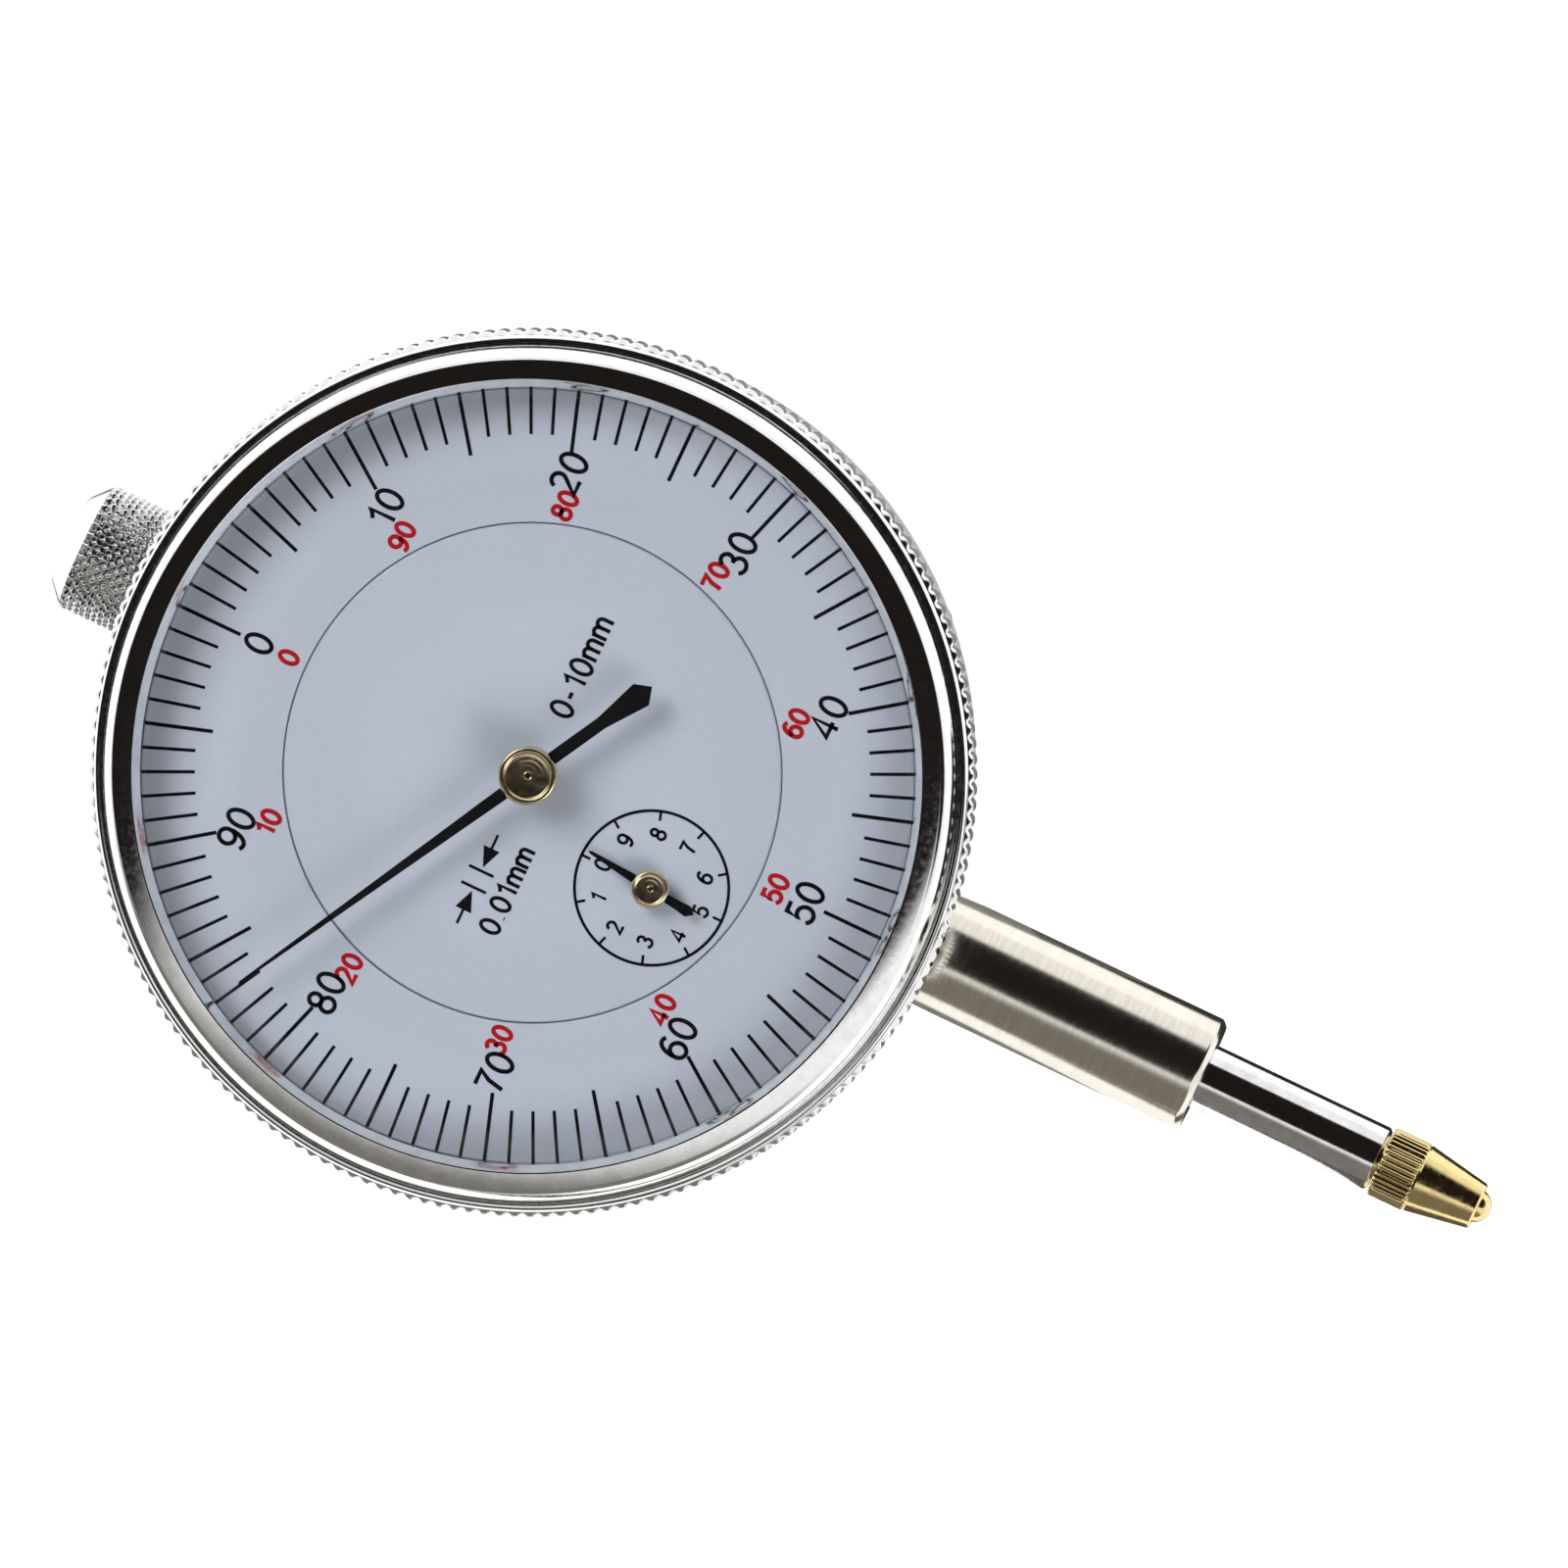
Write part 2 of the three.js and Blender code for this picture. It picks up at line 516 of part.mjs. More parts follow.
function buildSprings() {
  const outer = [];
  const inner = [];
  const turns = 4;
  const count = turns * 24;
  for (let i = 0; i <= count; i++) {
    const angle = STUD_ANGLE - ((count - i) * 2 * Math.PI) / 24;
    const r = 1.4 + (4.05 * i) / count;
    outer.push(polar(r + 0.06, angle));
    inner.push(polar(r - 0.06, angle));
  }
  const spiral = slab([...outer, ...inner.reverse()], [], -6.2, -5.5);
  add(dialGroup, "hairspring", spiral, STEEL, GEAR_X, GEAR_Z);
  const stud = polar(6.0, STUD_ANGLE).add({ x: GEAR_X, y: GEAR_Z });
  add(dialGroup, "hairspring_stud", rodY(0.4, POST_FOOT_Y, -5.3), BRASS, stud.x, stud.y);
  const anchor = [[0, 3.3], [0.7, 3.3], [0.7, 6.5], [1.1, 6.5], [1.1, 7.1], [0, 7.1]];
  add(dialGroup, "spring_anchor", turnedY(anchor, 16), STEEL, 0, ANCHOR_Z);
  add(dialGroup, "return_spring", wire(springPath(), 0.17, 168, 4), STEEL);
}

// Extension spring: a loop round the anchor, the coils, a loop round the guide pin.
function springPath() {
  const y = SPRING_Y;
  const loopR = 1.0;
  const coilR = 1.0;
  const points = [];
  for (let i = 0; i <= 9; i++) {
    const angle = ((130 + 32 * i) * Math.PI) / 180;
    points.push(new THREE.Vector3(loopR * Math.cos(angle), y, ANCHOR_Z + loopR * Math.sin(angle)));
  }
  const low = ANCHOR_Z + 1.9;
  const high = PIN_Z - 1.9;
  const turns = 12;
  for (let i = 0; i <= turns * 8; i++) {
    const angle = (i * Math.PI) / 4;
    const z = low + ((high - low) * i) / (turns * 8);
    points.push(new THREE.Vector3(coilR * Math.cos(angle), y + coilR * Math.sin(angle), z));
  }
  for (let i = 0; i <= 9; i++) {
    const angle = ((-58 + 32 * i) * Math.PI) / 180;
    points.push(new THREE.Vector3(loopR * Math.cos(angle), y, PIN_Z + loopR * Math.sin(angle)));
  }
  return points;
}

buildCase();
buildStem();
buildRearCover();
buildLug();
buildPlates();
buildBridge();
buildDialParts();
buildSpindle();
buildArbors();
buildSprings();

export default root;
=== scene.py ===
"""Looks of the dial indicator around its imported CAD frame."""

import json
import math

import bpy
from mathutils import Matrix, Vector

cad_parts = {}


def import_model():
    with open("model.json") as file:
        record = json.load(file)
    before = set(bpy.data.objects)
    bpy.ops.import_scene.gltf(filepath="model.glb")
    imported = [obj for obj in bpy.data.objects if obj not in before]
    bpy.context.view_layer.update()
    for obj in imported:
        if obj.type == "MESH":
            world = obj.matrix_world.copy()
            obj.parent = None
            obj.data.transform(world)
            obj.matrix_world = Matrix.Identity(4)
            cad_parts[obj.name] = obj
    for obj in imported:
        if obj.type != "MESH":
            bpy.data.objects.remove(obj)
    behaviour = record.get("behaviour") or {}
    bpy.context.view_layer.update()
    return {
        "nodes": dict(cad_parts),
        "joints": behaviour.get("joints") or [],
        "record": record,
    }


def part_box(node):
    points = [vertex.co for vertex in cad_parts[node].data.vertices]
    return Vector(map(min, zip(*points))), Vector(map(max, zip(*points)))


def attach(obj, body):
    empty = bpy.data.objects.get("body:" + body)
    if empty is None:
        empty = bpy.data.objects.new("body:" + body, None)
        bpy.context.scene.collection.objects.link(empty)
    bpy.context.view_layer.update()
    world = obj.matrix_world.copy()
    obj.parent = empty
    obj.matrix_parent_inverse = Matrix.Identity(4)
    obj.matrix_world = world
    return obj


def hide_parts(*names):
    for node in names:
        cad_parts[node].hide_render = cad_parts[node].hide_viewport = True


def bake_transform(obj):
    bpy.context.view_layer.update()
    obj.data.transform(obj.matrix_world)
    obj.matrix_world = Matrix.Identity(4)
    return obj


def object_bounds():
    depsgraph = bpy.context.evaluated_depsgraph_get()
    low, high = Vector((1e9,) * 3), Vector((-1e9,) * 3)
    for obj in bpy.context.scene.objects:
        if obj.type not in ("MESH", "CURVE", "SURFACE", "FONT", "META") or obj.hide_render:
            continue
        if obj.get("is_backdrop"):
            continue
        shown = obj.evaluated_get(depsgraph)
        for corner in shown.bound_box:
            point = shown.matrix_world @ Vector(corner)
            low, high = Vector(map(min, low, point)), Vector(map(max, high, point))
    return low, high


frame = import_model()

MM = 0.001
JOINTS = {joint["name"]: joint for joint in frame["joints"]}
DIAL = Vector(JOINTS["bezel_turn"]["pos_m"]) / MM  # dial centre, in millimetres
SMALL = Vector(JOINTS["rack_arbor_turn"]["pos_m"]) / MM  # revolution counter's centre
FACE_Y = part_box("graduated_dial")[0].y / MM  # front face of the dial
KNURL_R = (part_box("bezel")[1].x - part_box("bezel")[0].x) / 2 / MM
LIP_R = 25.8  # inner edge of the bezel's front
SEAT_R = 26.7  # outer edge of what sits inside the bezel
DISC_R = 16.6
KNURL_TEETH = 180
PRINT_TOP = FACE_Y - 0.02  # the printed ink stands just out of the dial
PRINT_FOOT = FACE_Y + 0.05
RACK_PITCH = 0.625
RACK_TOP, RACK_FOOT = -2.1075, -1.66  # x of the rack's tooth tips and roots
HAND_LAG = 0.169  # turns by which the main hand stands before zero at rest
FLOOR_GAP = 0.5  # from the rearmost point back to the floor
FLAG_GAP = 0.3


# ---------------------------------------------------------------- meshes


def polar(radius, angle):
    return radius * math.cos(angle), radius * math.sin(angle)


def new_object(name, vertices, faces, smooth_angle=35):
    """A mesh object from millimetre vertices, smooth except across edges sharper than the angle."""
    mesh = bpy.data.meshes.new(name)
    mesh.from_pydata([Vector(v) * MM for v in vertices], [], faces)
    mesh.validate()
    mesh.update()
    for polygon in mesh.polygons:
        polygon.use_smooth = True
    mesh.set_sharp_from_angle(angle=math.radians(smooth_angle))
    piece = bpy.data.objects.new(name, mesh)
    bpy.context.scene.collection.objects.link(piece)
    return piece


def finish_piece(piece, body, material, replaces=()):
    piece.data.materials.clear()
    piece.data.materials.append(material)
    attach(piece, body)
    if replaces:
        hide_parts(*replaces)
    return piece


def rounded(profile, radius, steps=4):
    """The profile with each inner corner replaced by a small arc-like curve."""
    points = [profile[0]]
    for before, corner, after in zip(profile, profile[1:], profile[2:]):
        a, b, c = Vector(before), Vector(corner), Vector(after)
        reach = min(radius, (a - b).length * 0.45, (c - b).length * 0.45)
        start = b + (a - b).normalized() * reach
        end = b + (c - b).normalized() * reach
        for i in range(steps + 1):
            t = i / steps
            points.append(tuple(start * (1 - t) ** 2 + b * 2 * t * (1 - t) + end * t * t))
    points.append(profile[-1])
    return points


def tube(inner, outer, low, high):
    middle = (low + high) / 2
    return [(inner, middle), (inner, low), (outer, low), (outer, high), (inner, high), (inner, middle)]


def turned(name, profile, segments, place, relief=None, closed=False, smooth_angle=35):
    """Revolves [radius, height] points. place(x, y, height) gives the world point in millimetres.
    relief(radius, height, angle) moves a point's radius. Open profiles start and end on the axis."""
    rows = profile if closed else profile[1:-1]
    vertices = []
    for radius, height in rows:
        for k in range(segments):
            angle = 2 * math.pi * k / segments
            r = radius + (relief(radius, height, angle) if relief else 0)
            vertices.append(place(*polar(r, angle), height))
    faces = []
    count = len(rows)
    for i in range(count if closed else count - 1):
        j = (i + 1) % count
        for k in range(segments):
            n = (k + 1) % segments
            faces.append((i * segments + k, i * segments + n, j * segments + n, j * segments + k))
    if not closed:
        for row, end in ((0, profile[0]), (count - 1, profile[-1])):
            vertices.append(place(0, 0, end[1]))
            centre = len(vertices) - 1
            for k in range(segments):
                n = (k + 1) % segments
                ring = (row * segments + k, row * segments + n)
                faces.append((centre, ring[1], ring[0]) if row == 0 else (centre, ring[0], ring[1]))
    piece = new_object(name, vertices, faces, smooth_angle)
    outward(piece)
    return piece


def outward(piece):
    """Turns the faces of a closed mesh outwards."""
    mesh = piece.data
    mesh.calc_loop_triangles()
    volume = 0
    for triangle in mesh.loop_triangles:
        a, b, c = (mesh.vertices[i].co for i in triangle.vertices)
        volume += a.dot(b.cross(c))
    if volume < 0:
        mesh.flip_normals()


def about_dial(x, z, height):
    """Round the dial axis: height is y."""
    return (DIAL.x + x, height, DIAL.z + z)


def about_small(x, z, height):
    return (SMALL.x + x, height, SMALL.z + z)


def about_spindle(x, y, height):
    """Round the spindle axis: height is z."""
    return (x, y, height)


def slab(name, outlines, low, high, centre=DIAL, smooth_angle=30):
    """Flat solids from (x, z) outlines, between two y planes, all in one mesh."""
    vertices = []
    faces = []
    for outline in outlines:
        start = len(vertices)
        count = len(outline)
        for y in (low, high):
            vertices.extend((centre.x + x, y, centre.z + z) for x, z in outline)
        faces.append(tuple(range(start, start + count)))
        faces.append(tuple(reversed(range(start + count, start + 2 * count))))
        for i in range(count):
            j = (i + 1) % count
            faces.append((start + i, start + count + i, start + count + j, start + j))
    piece = new_object(name, vertices, faces, smooth_angle)
    outward(piece)
    return piece


BOX_FACES = [(0, 1, 3, 2), (4, 6, 7, 5), (0, 4, 5, 1), (2, 3, 7, 6), (0, 2, 6, 4), (1, 5, 7, 3)]


def box_vertices(x, y, z, half_x, half_y, half_z):
    return [(x + a * half_x, y + b * half_y, z + c * half_z)
            for a in (-1, 1) for b in (-1, 1) for c in (-1, 1)]


def subtract(piece, cutter):
    """Cuts the cutter out of the piece and removes the cutter."""
    cut = piece.modifiers.new("cut", "BOOLEAN")
    cut.operation = "DIFFERENCE"
    cut.object = cutter
    cut.solver = "EXACT"
    bpy.context.view_layer.update()
    evaluated = piece.evaluated_get(bpy.context.evaluated_depsgraph_get())
    mesh = bpy.data.meshes.new_from_object(evaluated)
    piece.modifiers.clear()
    piece.data = mesh
    mesh.set_sharp_from_angle(angle=math.radians(35))
    bpy.data.objects.remove(cutter)


def rectangle(left, right, low, high):
    return [(left, low), (right, low), (right, high), (left, high)]


def bar(angle, inner, outer, width):
    """Outline of a radial mark at an angle."""
    along = Vector(polar(1, angle))
    across = Vector((-along.y, along.x)) * width / 2
    return [tuple(along * inner - across), tuple(along * outer - across), tuple(along * outer + across),
            tuple(along * inner + across)]


def wire(name, points, radius, sides):
    """A round wire along millimetre points, with closed ends."""
    path = [Vector(p) for p in points]
    vertices = []
    side = Vector((0, 1, 0))
    for i, point in enumerate(path):
        along = (path[min(i + 1, len(path) - 1)] - path[max(i - 1, 0)]).normalized()
        side = (side - along * side.dot(along)).normalized()
        up = along.cross(side)
        for k in range(sides):
            c, s = polar(radius, 2 * math.pi * k / sides)
            vertices.append(point + side * c + up * s)
    faces = []
    for i in range(len(path) - 1):
        for k in range(sides):
            n = (k + 1) % sides
            faces.append((i * sides + k, i * sides + n, (i + 1) * sides + n, (i + 1) * sides + k))
    faces.append(tuple(reversed(range(sides))))
    faces.append(tuple(range(len(vertices) - sides, len(vertices))))
    piece = new_object(name, vertices, faces, 60)
    outward(piece)
    return piece


def arc(x, y, rx, ry, start, end, steps=12):
    """Points on an ellipse, by degrees counterclockwise from the right."""
    angles = [math.radians(start + (end - start) * i / steps) for i in range(steps + 1)]
    return [(x + rx * math.cos(t), y + ry * math.sin(t)) for t in angles]


SIX = [arc(0.29, 0.31, 0.27, 0.31, 170, 530, 20), arc(0.35, 0.4, 0.33, 0.6, 180, 58, 10)]

# Pen strokes of each character: cell one high, baseline at zero.
GLYPHS = {
    "0": [arc(0.28, 0.5, 0.28, 0.5, 0, 360, 24)],
    "1": [[(0.04, 0.78), (0.22, 0.88), (0.32, 1.0), (0.32, 0.0)]],
    "2": [arc(0.28, 0.72, 0.26, 0.28, 165, -38, 12) + [(0.02, 0.0), (0.56, 0.0)]],
    "3": [arc(0.26, 0.76, 0.23, 0.24, 160, -90, 10), arc(0.26, 0.27, 0.28, 0.27, 90, -160, 12)],
    "4": [[(0.6, 0.27), (0.0, 0.27), (0.44, 1.0), (0.44, 0.0)]],
    "5": [[(0.52, 1.0), (0.13, 1.0), (0.06, 0.5)] + arc(0.27, 0.32, 0.29, 0.32, 132, -155, 12)],
    "6": SIX,
    "7": [[(0.0, 1.0), (0.56, 1.0), (0.34, 0.6), (0.22, 0.0)]],
    "8": [arc(0.28, 0.76, 0.22, 0.24, 0, 360, 16), arc(0.28, 0.27, 0.27, 0.27, 0, 360, 18)],
    "9": [[(0.58 - x, 1 - y) for x, y in stroke] for stroke in SIX],
    "-": [[(0.03, 0.4), (0.33, 0.4)]],
    ".": [[(0.1, 0.0), (0.1, 0.06)]],
    "m": [[(0.0, 0.0), (0.0, 0.7)], [(0.0, 0.4)] + arc(0.2, 0.48, 0.2, 0.22, 160, 0, 8) + [(0.4, 0.0)],
          [(0.4, 0.4)] + arc(0.6, 0.48, 0.2, 0.22, 160, 0, 8) + [(0.8, 0.0)]],
}
GLYPH_GAP = 0.25
WIDTHS = {"1": 0.4, ".": 0.16, "-": 0.36}


def pen_quads(stroke, pen):
    """The stroke's segments as quads of the pen's width, mitred where they meet."""
    points = [Vector(p) for p in stroke]
    closed = (points[0] - points[-1]).length < 1e-6
    sides = []
    for i, point in enumerate(points):
        before = points[i - 1] if i else (points[-2] if closed else None)
        after = points[i + 1] if i + 1 < len(points) else (points[1] if closed else None)
        runs = [(b - a).normalized() for a, b in ((before, point), (point, after)) if a and b]
        along = (runs[0] + runs[-1]).normalized()
        reach = pen / 2 / max(0.6, along.dot(runs[0]))
        across = Vector((-along.y, along.x)) * reach
        sides.append((point + across, point - across))
    return [[a[0], b[0], b[1], a[1]] for a, b in zip(sides, sides[1:])]


def lettering(name, labels):
    """Printed text in one mesh. Each label is (text, x, z, height, pen width, centre)."""
    quads = []
    for text, x, z, height, pen, centre in labels:
        tall = height - pen
        strokes = []
        cursor = 0
        for character in text:
            glyph = GLYPHS[character]
            for stroke in glyph:
                strokes.append([((cursor + a) * tall, b * tall) for a, b in stroke])
            width = max(a for stroke in glyph for a, b in stroke)
            cursor += WIDTHS.get(character, width) + GLYPH_GAP
        half = (cursor - GLYPH_GAP) * tall / 2
        shift = Vector((centre.x - DIAL.x + x - half, centre.z - DIAL.z + z - tall / 2))
        for stroke in strokes:
            quads += [[tuple(corner + shift) for corner in quad] for quad in pen_quads(stroke, pen)]
    return slab(name, quads, PRINT_TOP, PRINT_FOOT)


# ---------------------------------------------------------------- materials


class Surface:
    """A procedural material: a Principled shader with helpers that add noise to its sockets."""

    def __init__(self, name, colour, metallic, roughness):
        self.material = bpy.data.materials.new(name)
        self.material.use_nodes = True
        self.nodes = self.material.node_tree.nodes
        self.links = self.material.node_tree.links
        self.shader = self.nodes["Principled BSDF"]
        self.colour = colour
        self.roughness = roughness
        self.shader.inputs["Base Color"].default_value = (*colour, 1)
        self.shader.inputs["Metallic"].default_value = metallic
        self.shader.inputs["Roughness"].default_value = roughness
        self.material.diffuse_color = (*colour, 1)

    def noise(self, scale, detail=4, stretch=(1, 1, 1)):
        coordinates = self.nodes.new("ShaderNodeTexCoord")
        mapping = self.nodes.new("ShaderNodeMapping")
        mapping.inputs["Scale"].default_value = stretch
        noise = self.nodes.new("ShaderNodeTexNoise")
        noise.inputs["Scale"].default_value = scale
        noise.inputs["Detail"].default_value = detail
        self.links.new(coordinates.outputs["Object"], mapping.inputs["Vector"])
        self.links.new(mapping.outputs["Vector"], noise.inputs["Vector"])
        return noise.outputs["Fac"]

    def ring_distance(self, centre):
        """Distance from the dial axis or another axis along Y, for turned marks."""
        coordinates = self.nodes.new("ShaderNodeTexCoord")
        mapping = self.nodes.new("ShaderNodeMapping")
        mapping.inputs["Location"].default_value = (-centre.x * MM, 0, -centre.z * MM)
        mapping.inputs["Scale"].default_value = (1, 0, 1)
        length = self.nodes.new("ShaderNodeVectorMath")
        length.operation = "LENGTH"
        self.links.new(coordinates.outputs["Object"], mapping.inputs["Vector"])
        self.links.new(mapping.outputs["Vector"], length.inputs[0])
        return length.outputs["Value"]

    def ramp(self, factor, low, high, low_at=0.35, high_at=0.65):
        ramp = self.nodes.new("ShaderNodeValToRGB")
        ramp.color_ramp.elements[0].position = low_at
        ramp.color_ramp.elements[1].position = high_at
        ramp.color_ramp.elements[0].color = (*low, 1)
        ramp.color_ramp.elements[1].color = (*high, 1)
        self.links.new(factor, ramp.inputs["Fac"])
        return ramp.outputs["Color"]

    def tint(self, factor, change):
        """Base colour that varies between a darker and a lighter shade."""
        low = [max(0, c * (1 - change)) for c in self.colour]
        high = [min(1, c * (1 + change)) for c in self.colour]
        self.links.new(self.ramp(factor, low, high), self.shader.inputs["Base Color"])
        return self

    def gloss(self, factor, change):
        low = max(0.02, self.roughness - change)
        high = self.roughness + change
        value = self.ramp(factor, (low,) * 3, (high,) * 3)
        self.links.new(value, self.shader.inputs["Roughness"])
        return self

    def bump(self, factor, strength, distance):
        bump = self.nodes.new("ShaderNodeBump")
        bump.inputs["Strength"].default_value = strength
        bump.inputs["Distance"].default_value = distance
        self.links.new(factor, bump.inputs["Height"])
        self.links.new(bump.outputs["Normal"], self.shader.inputs["Normal"])
        return self

    def set(self, **inputs):
        for name, value in inputs.items():
            self.shader.inputs[name.replace("_", " ")].default_value = value
        return self


def polished_metal(name, colour, roughness, wear=0.05):
    surface = Surface(name, colour, 1, roughness)
    surface.tint(surface.noise(900, 5), wear)
    surface.gloss(surface.noise(2600, 6), roughness * 0.45)
    surface.bump(surface.noise(5200, 3), 0.12, 0.00001)
    return surface.material


def ground_metal(name, colour, roughness, stretch, strength=0.12):
    """Metal with fine grinding lines across the stretched direction."""
    surface = Surface(name, colour, 1, roughness)
    lines = surface.noise(4200, 5, stretch)
    surface.tint(surface.noise(1700, 4, stretch), 0.05)
    surface.gloss(lines, roughness * 0.2)
    surface.bump(lines, strength, 0.00001)
    return surface.material


def turned_metal(name, colour, roughness, centre, pitch, strength=0.2):
    """Metal with the rings that a lathe tool leaves round a Y axis."""
    surface = Surface(name, colour, 1, roughness)
    wave = surface.nodes.new("ShaderNodeMath")
    wave.operation = "SINE"
    scale = surface.nodes.new("ShaderNodeMath")
    scale.operation = "MULTIPLY"
    scale.inputs[1].default_value = 2 * math.pi / (pitch * MM)
    surface.links.new(surface.ring_distance(centre), scale.inputs[0])
    surface.links.new(scale.outputs["Value"], wave.inputs[0])
    surface.tint(surface.noise(2400, 4), 0.04)
    surface.gloss(surface.noise(1900, 4), roughness * 0.2)
    surface.bump(wave.outputs["Value"], strength, 0.00001)
    return surface.material


def painted(name, colour, roughness, grain=2200, change=0.03, specular=0.5):
    surface = Surface(name, colour, 0, roughness)
    surface.tint(surface.noise(grain, 4), change)
    surface.gloss(surface.noise(grain * 0.6, 3), roughness * 0.12)
    surface.bump(surface.noise(grain * 2, 3), 0.06, 0.00001)
    surface.set(Specular_IOR_Level=specular)
    return surface.material


def clear_plastic():
    surface = Surface("crystal_clear", (1, 1, 1), 0, 0.015)
    surface.set(IOR=1.04, Transmission_Weight=1.0, Coat_Weight=0.35, Coat_Roughness=0.02)
    surface.gloss(surface.noise(600, 3), 0.008)
    surface.bump(surface.noise(300, 2), 0.02, 0.00001)
    return surface.material


CHROME = polished_metal("chrome", (0.87, 0.87, 0.86), 0.10)
SPINDLE_STEEL = polished_metal("spindle_steel", (0.86, 0.85, 0.84), 0.08, 0.08)
STEM_STEEL = ground_metal("stem_steel", (0.82, 0.78, 0.69), 0.17, (0.25, 0.25, 2.2))
SPRING_STEEL = polished_metal("spring_steel", (0.52, 0.52, 0.53), 0.25, 0.1)
SCREW_STEEL = ground_metal("screw_steel", (0.50, 0.50, 0.50), 0.22, (2, 1, 0.3))
CASE_ALLOY = ground_metal("case_alloy", (0.54, 0.55, 0.56), 0.28, (0.3, 2.5, 0.3))
BRASS = polished_metal("brass", (0.72, 0.58, 0.33), 0.16, 0.08)
CONTACT_BRASS = polished_metal("contact_brass", (0.88, 0.71, 0.34), 0.15, 0.06)
PLATE_BRASS = ground_metal("plate_brass", (0.62, 0.48, 0.24), 0.33, (0.3, 1, 2))
HUB_MAIN = turned_metal("hub_brass_main", (0.86, 0.74, 0.50), 0.16, DIAL, 0.34)
HUB_SMALL = turned_metal("hub_brass_small", (0.86, 0.74, 0.50), 0.16, SMALL, 0.3)
COVER_ALLOY = turned_metal("cover_alloy", (0.52, 0.53, 0.54), 0.26, DIAL, 0.45, 0.4)
DIAL_WHITE = painted("dial_white", (0.60, 0.66, 0.76), 0.5, 2600, 0.012)
INK_BLACK = painted("ink_black", (0.004, 0.004, 0.006), 0.7, specular=0.15)
INK_RED = painted("ink_red", (0.50, 0.006, 0.012), 0.7, specular=0.2)
HAND_BLACK = painted("hand_black", (0.004, 0.004, 0.005), 0.6, specular=0.15)
GASKET_BLACK = painted("gasket_black", (0.02, 0.02, 0.02), 0.6)
CRYSTAL = clear_plastic()


# ---------------------------------------------------------------- bezel, crystal and dial


def bezel():
    """Turned ring: a lip over the crystal, a rounded front and a straight-knurled rim."""
    rim = KNURL_R
    front = [(LIP_R, -12.62), (LIP_R, -12.66), (LIP_R + 0.02, -12.7)]
    crest = [(26.28, -13.48), (26.36, -13.5), (27.65, -13.2), (28.15, -12.6), (28.52, -11.25)]
    front += rounded(crest, 0.22)
    front += [  # two fine grooves
        (28.56, -11.02), (28.61, -11.02), (28.68, -11.14), (28.8, -11.12), (28.84, -10.95),
        (28.89, -10.95), (28.95, -11.04), (29.1, -10.85), (29.12, -10.7),
    ]
    band_front, band_width, chamfer = -10.4, 2.7, 0.22
    band = [(rim - chamfer, band_front - chamfer)]
    band += [(rim, band_front + band_width * i / 9) for i in range(10)]
    band += [(rim - chamfer, band_front + band_width + chamfer), (29.05, -7.3)]
    back = [(27.45, -7.3), (27.45, -8.45), (26.9, -8.45), (26.9, -12.5), (26.0, -12.5)]

    def relief(radius, height, angle):
        if radius < rim - 0.23 or height < band_front - 0.3:
            return 0
        depth = 0.2 if radius > rim - 0.1 else 0.08
        return -depth * (1 - abs(math.sin(KNURL_TEETH / 2 * angle))) ** 1.3

    piece = turned("bezel_ring", front + band + back, KNURL_TEETH * 6, about_dial, relief, True, 38)
    return finish_piece(piece, "bezel", CHROME, ["bezel"])


def crystal():
    """A clear window with a thin skirt and a flange under the bezel's lip."""
    front, back = -13.95, -13.05
    profile = [(r, front) for r in (0, 8, 16, 22)]
    profile += rounded([
        (24.4, front), (25.3, -13.75), (25.66, -13.3), (25.7, -12.32), (SEAT_R, -12.32),
        (SEAT_R, -11.6), (25.66, -11.6), (25.62, -13.0), (25.5, back),
    ], 0.12)
    profile += [(r, back) for r in (22, 16, 8, 0)]
    piece = turned("crystal_glass", profile, 180, about_dial, smooth_angle=50)
    finish_piece(piece, "bezel", CRYSTAL, ["crystal"])
    piece.visible_shadow = False


def gasket():
    profile = rounded(tube(25.9, SEAT_R, -11.45, -10.4), 0.1)
    ring = turned("crystal_gasket", profile[1:], 180, about_dial, closed=True)
    finish_piece(ring, "bezel", GASKET_BLACK, ["crystal_ring"])


def graduated_dial():
    """The outer dial with a hundred graduations and two rings of numbers."""
    profile = rounded(tube(DISC_R + 0.07, SEAT_R, FACE_Y, FACE_Y + 0.5), 0.2, 5)
    ring = turned("dial_ring", profile[1:], 180, about_dial, closed=True)
    finish_piece(ring, "bezel", DIAL_WHITE, ["graduated_dial"])
    marks = []
    for k in range(100):
        long_mark = k % 5 == 0
        inner = 21.45 if long_mark else 22.5
        width = 0.25 if long_mark else 0.22
        marks.append(bar(math.pi / 2 - 2 * math.pi * k / 100, inner, 26.2, width))
    ticks = slab("dial_graduations", marks, PRINT_TOP, PRINT_FOOT)
    finish_piece(ticks, "bezel", INK_BLACK)
    black = []
    red = []
    for k in range(10):
        angle = math.pi / 2 - 2 * math.pi * k / 10
        black.append((str(10 * k), *polar(20.1, angle), 2.1, 0.29, DIAL))
        red.append((str((100 - 10 * k) % 100), *polar(17.9, angle), 1.56, 0.3, DIAL))
    piece = lettering("dial_numbers_black", black)
    finish_piece(piece, "bezel", INK_BLACK)
    piece = lettering("dial_numbers_red", red)
    finish_piece(piece, "bezel", INK_RED)


def clamp_ring():
    """The ring that holds the graduated dial from behind."""
    profile = rounded(tube(25.4, SEAT_R, -8.95, -8.5), 0.08)
    clamp = turned("dial_clamp_ring", profile[1:], 180, about_dial, closed=True)
    finish_piece(clamp, "bezel", SPRING_STEEL, ["dial_retaining_ring"])


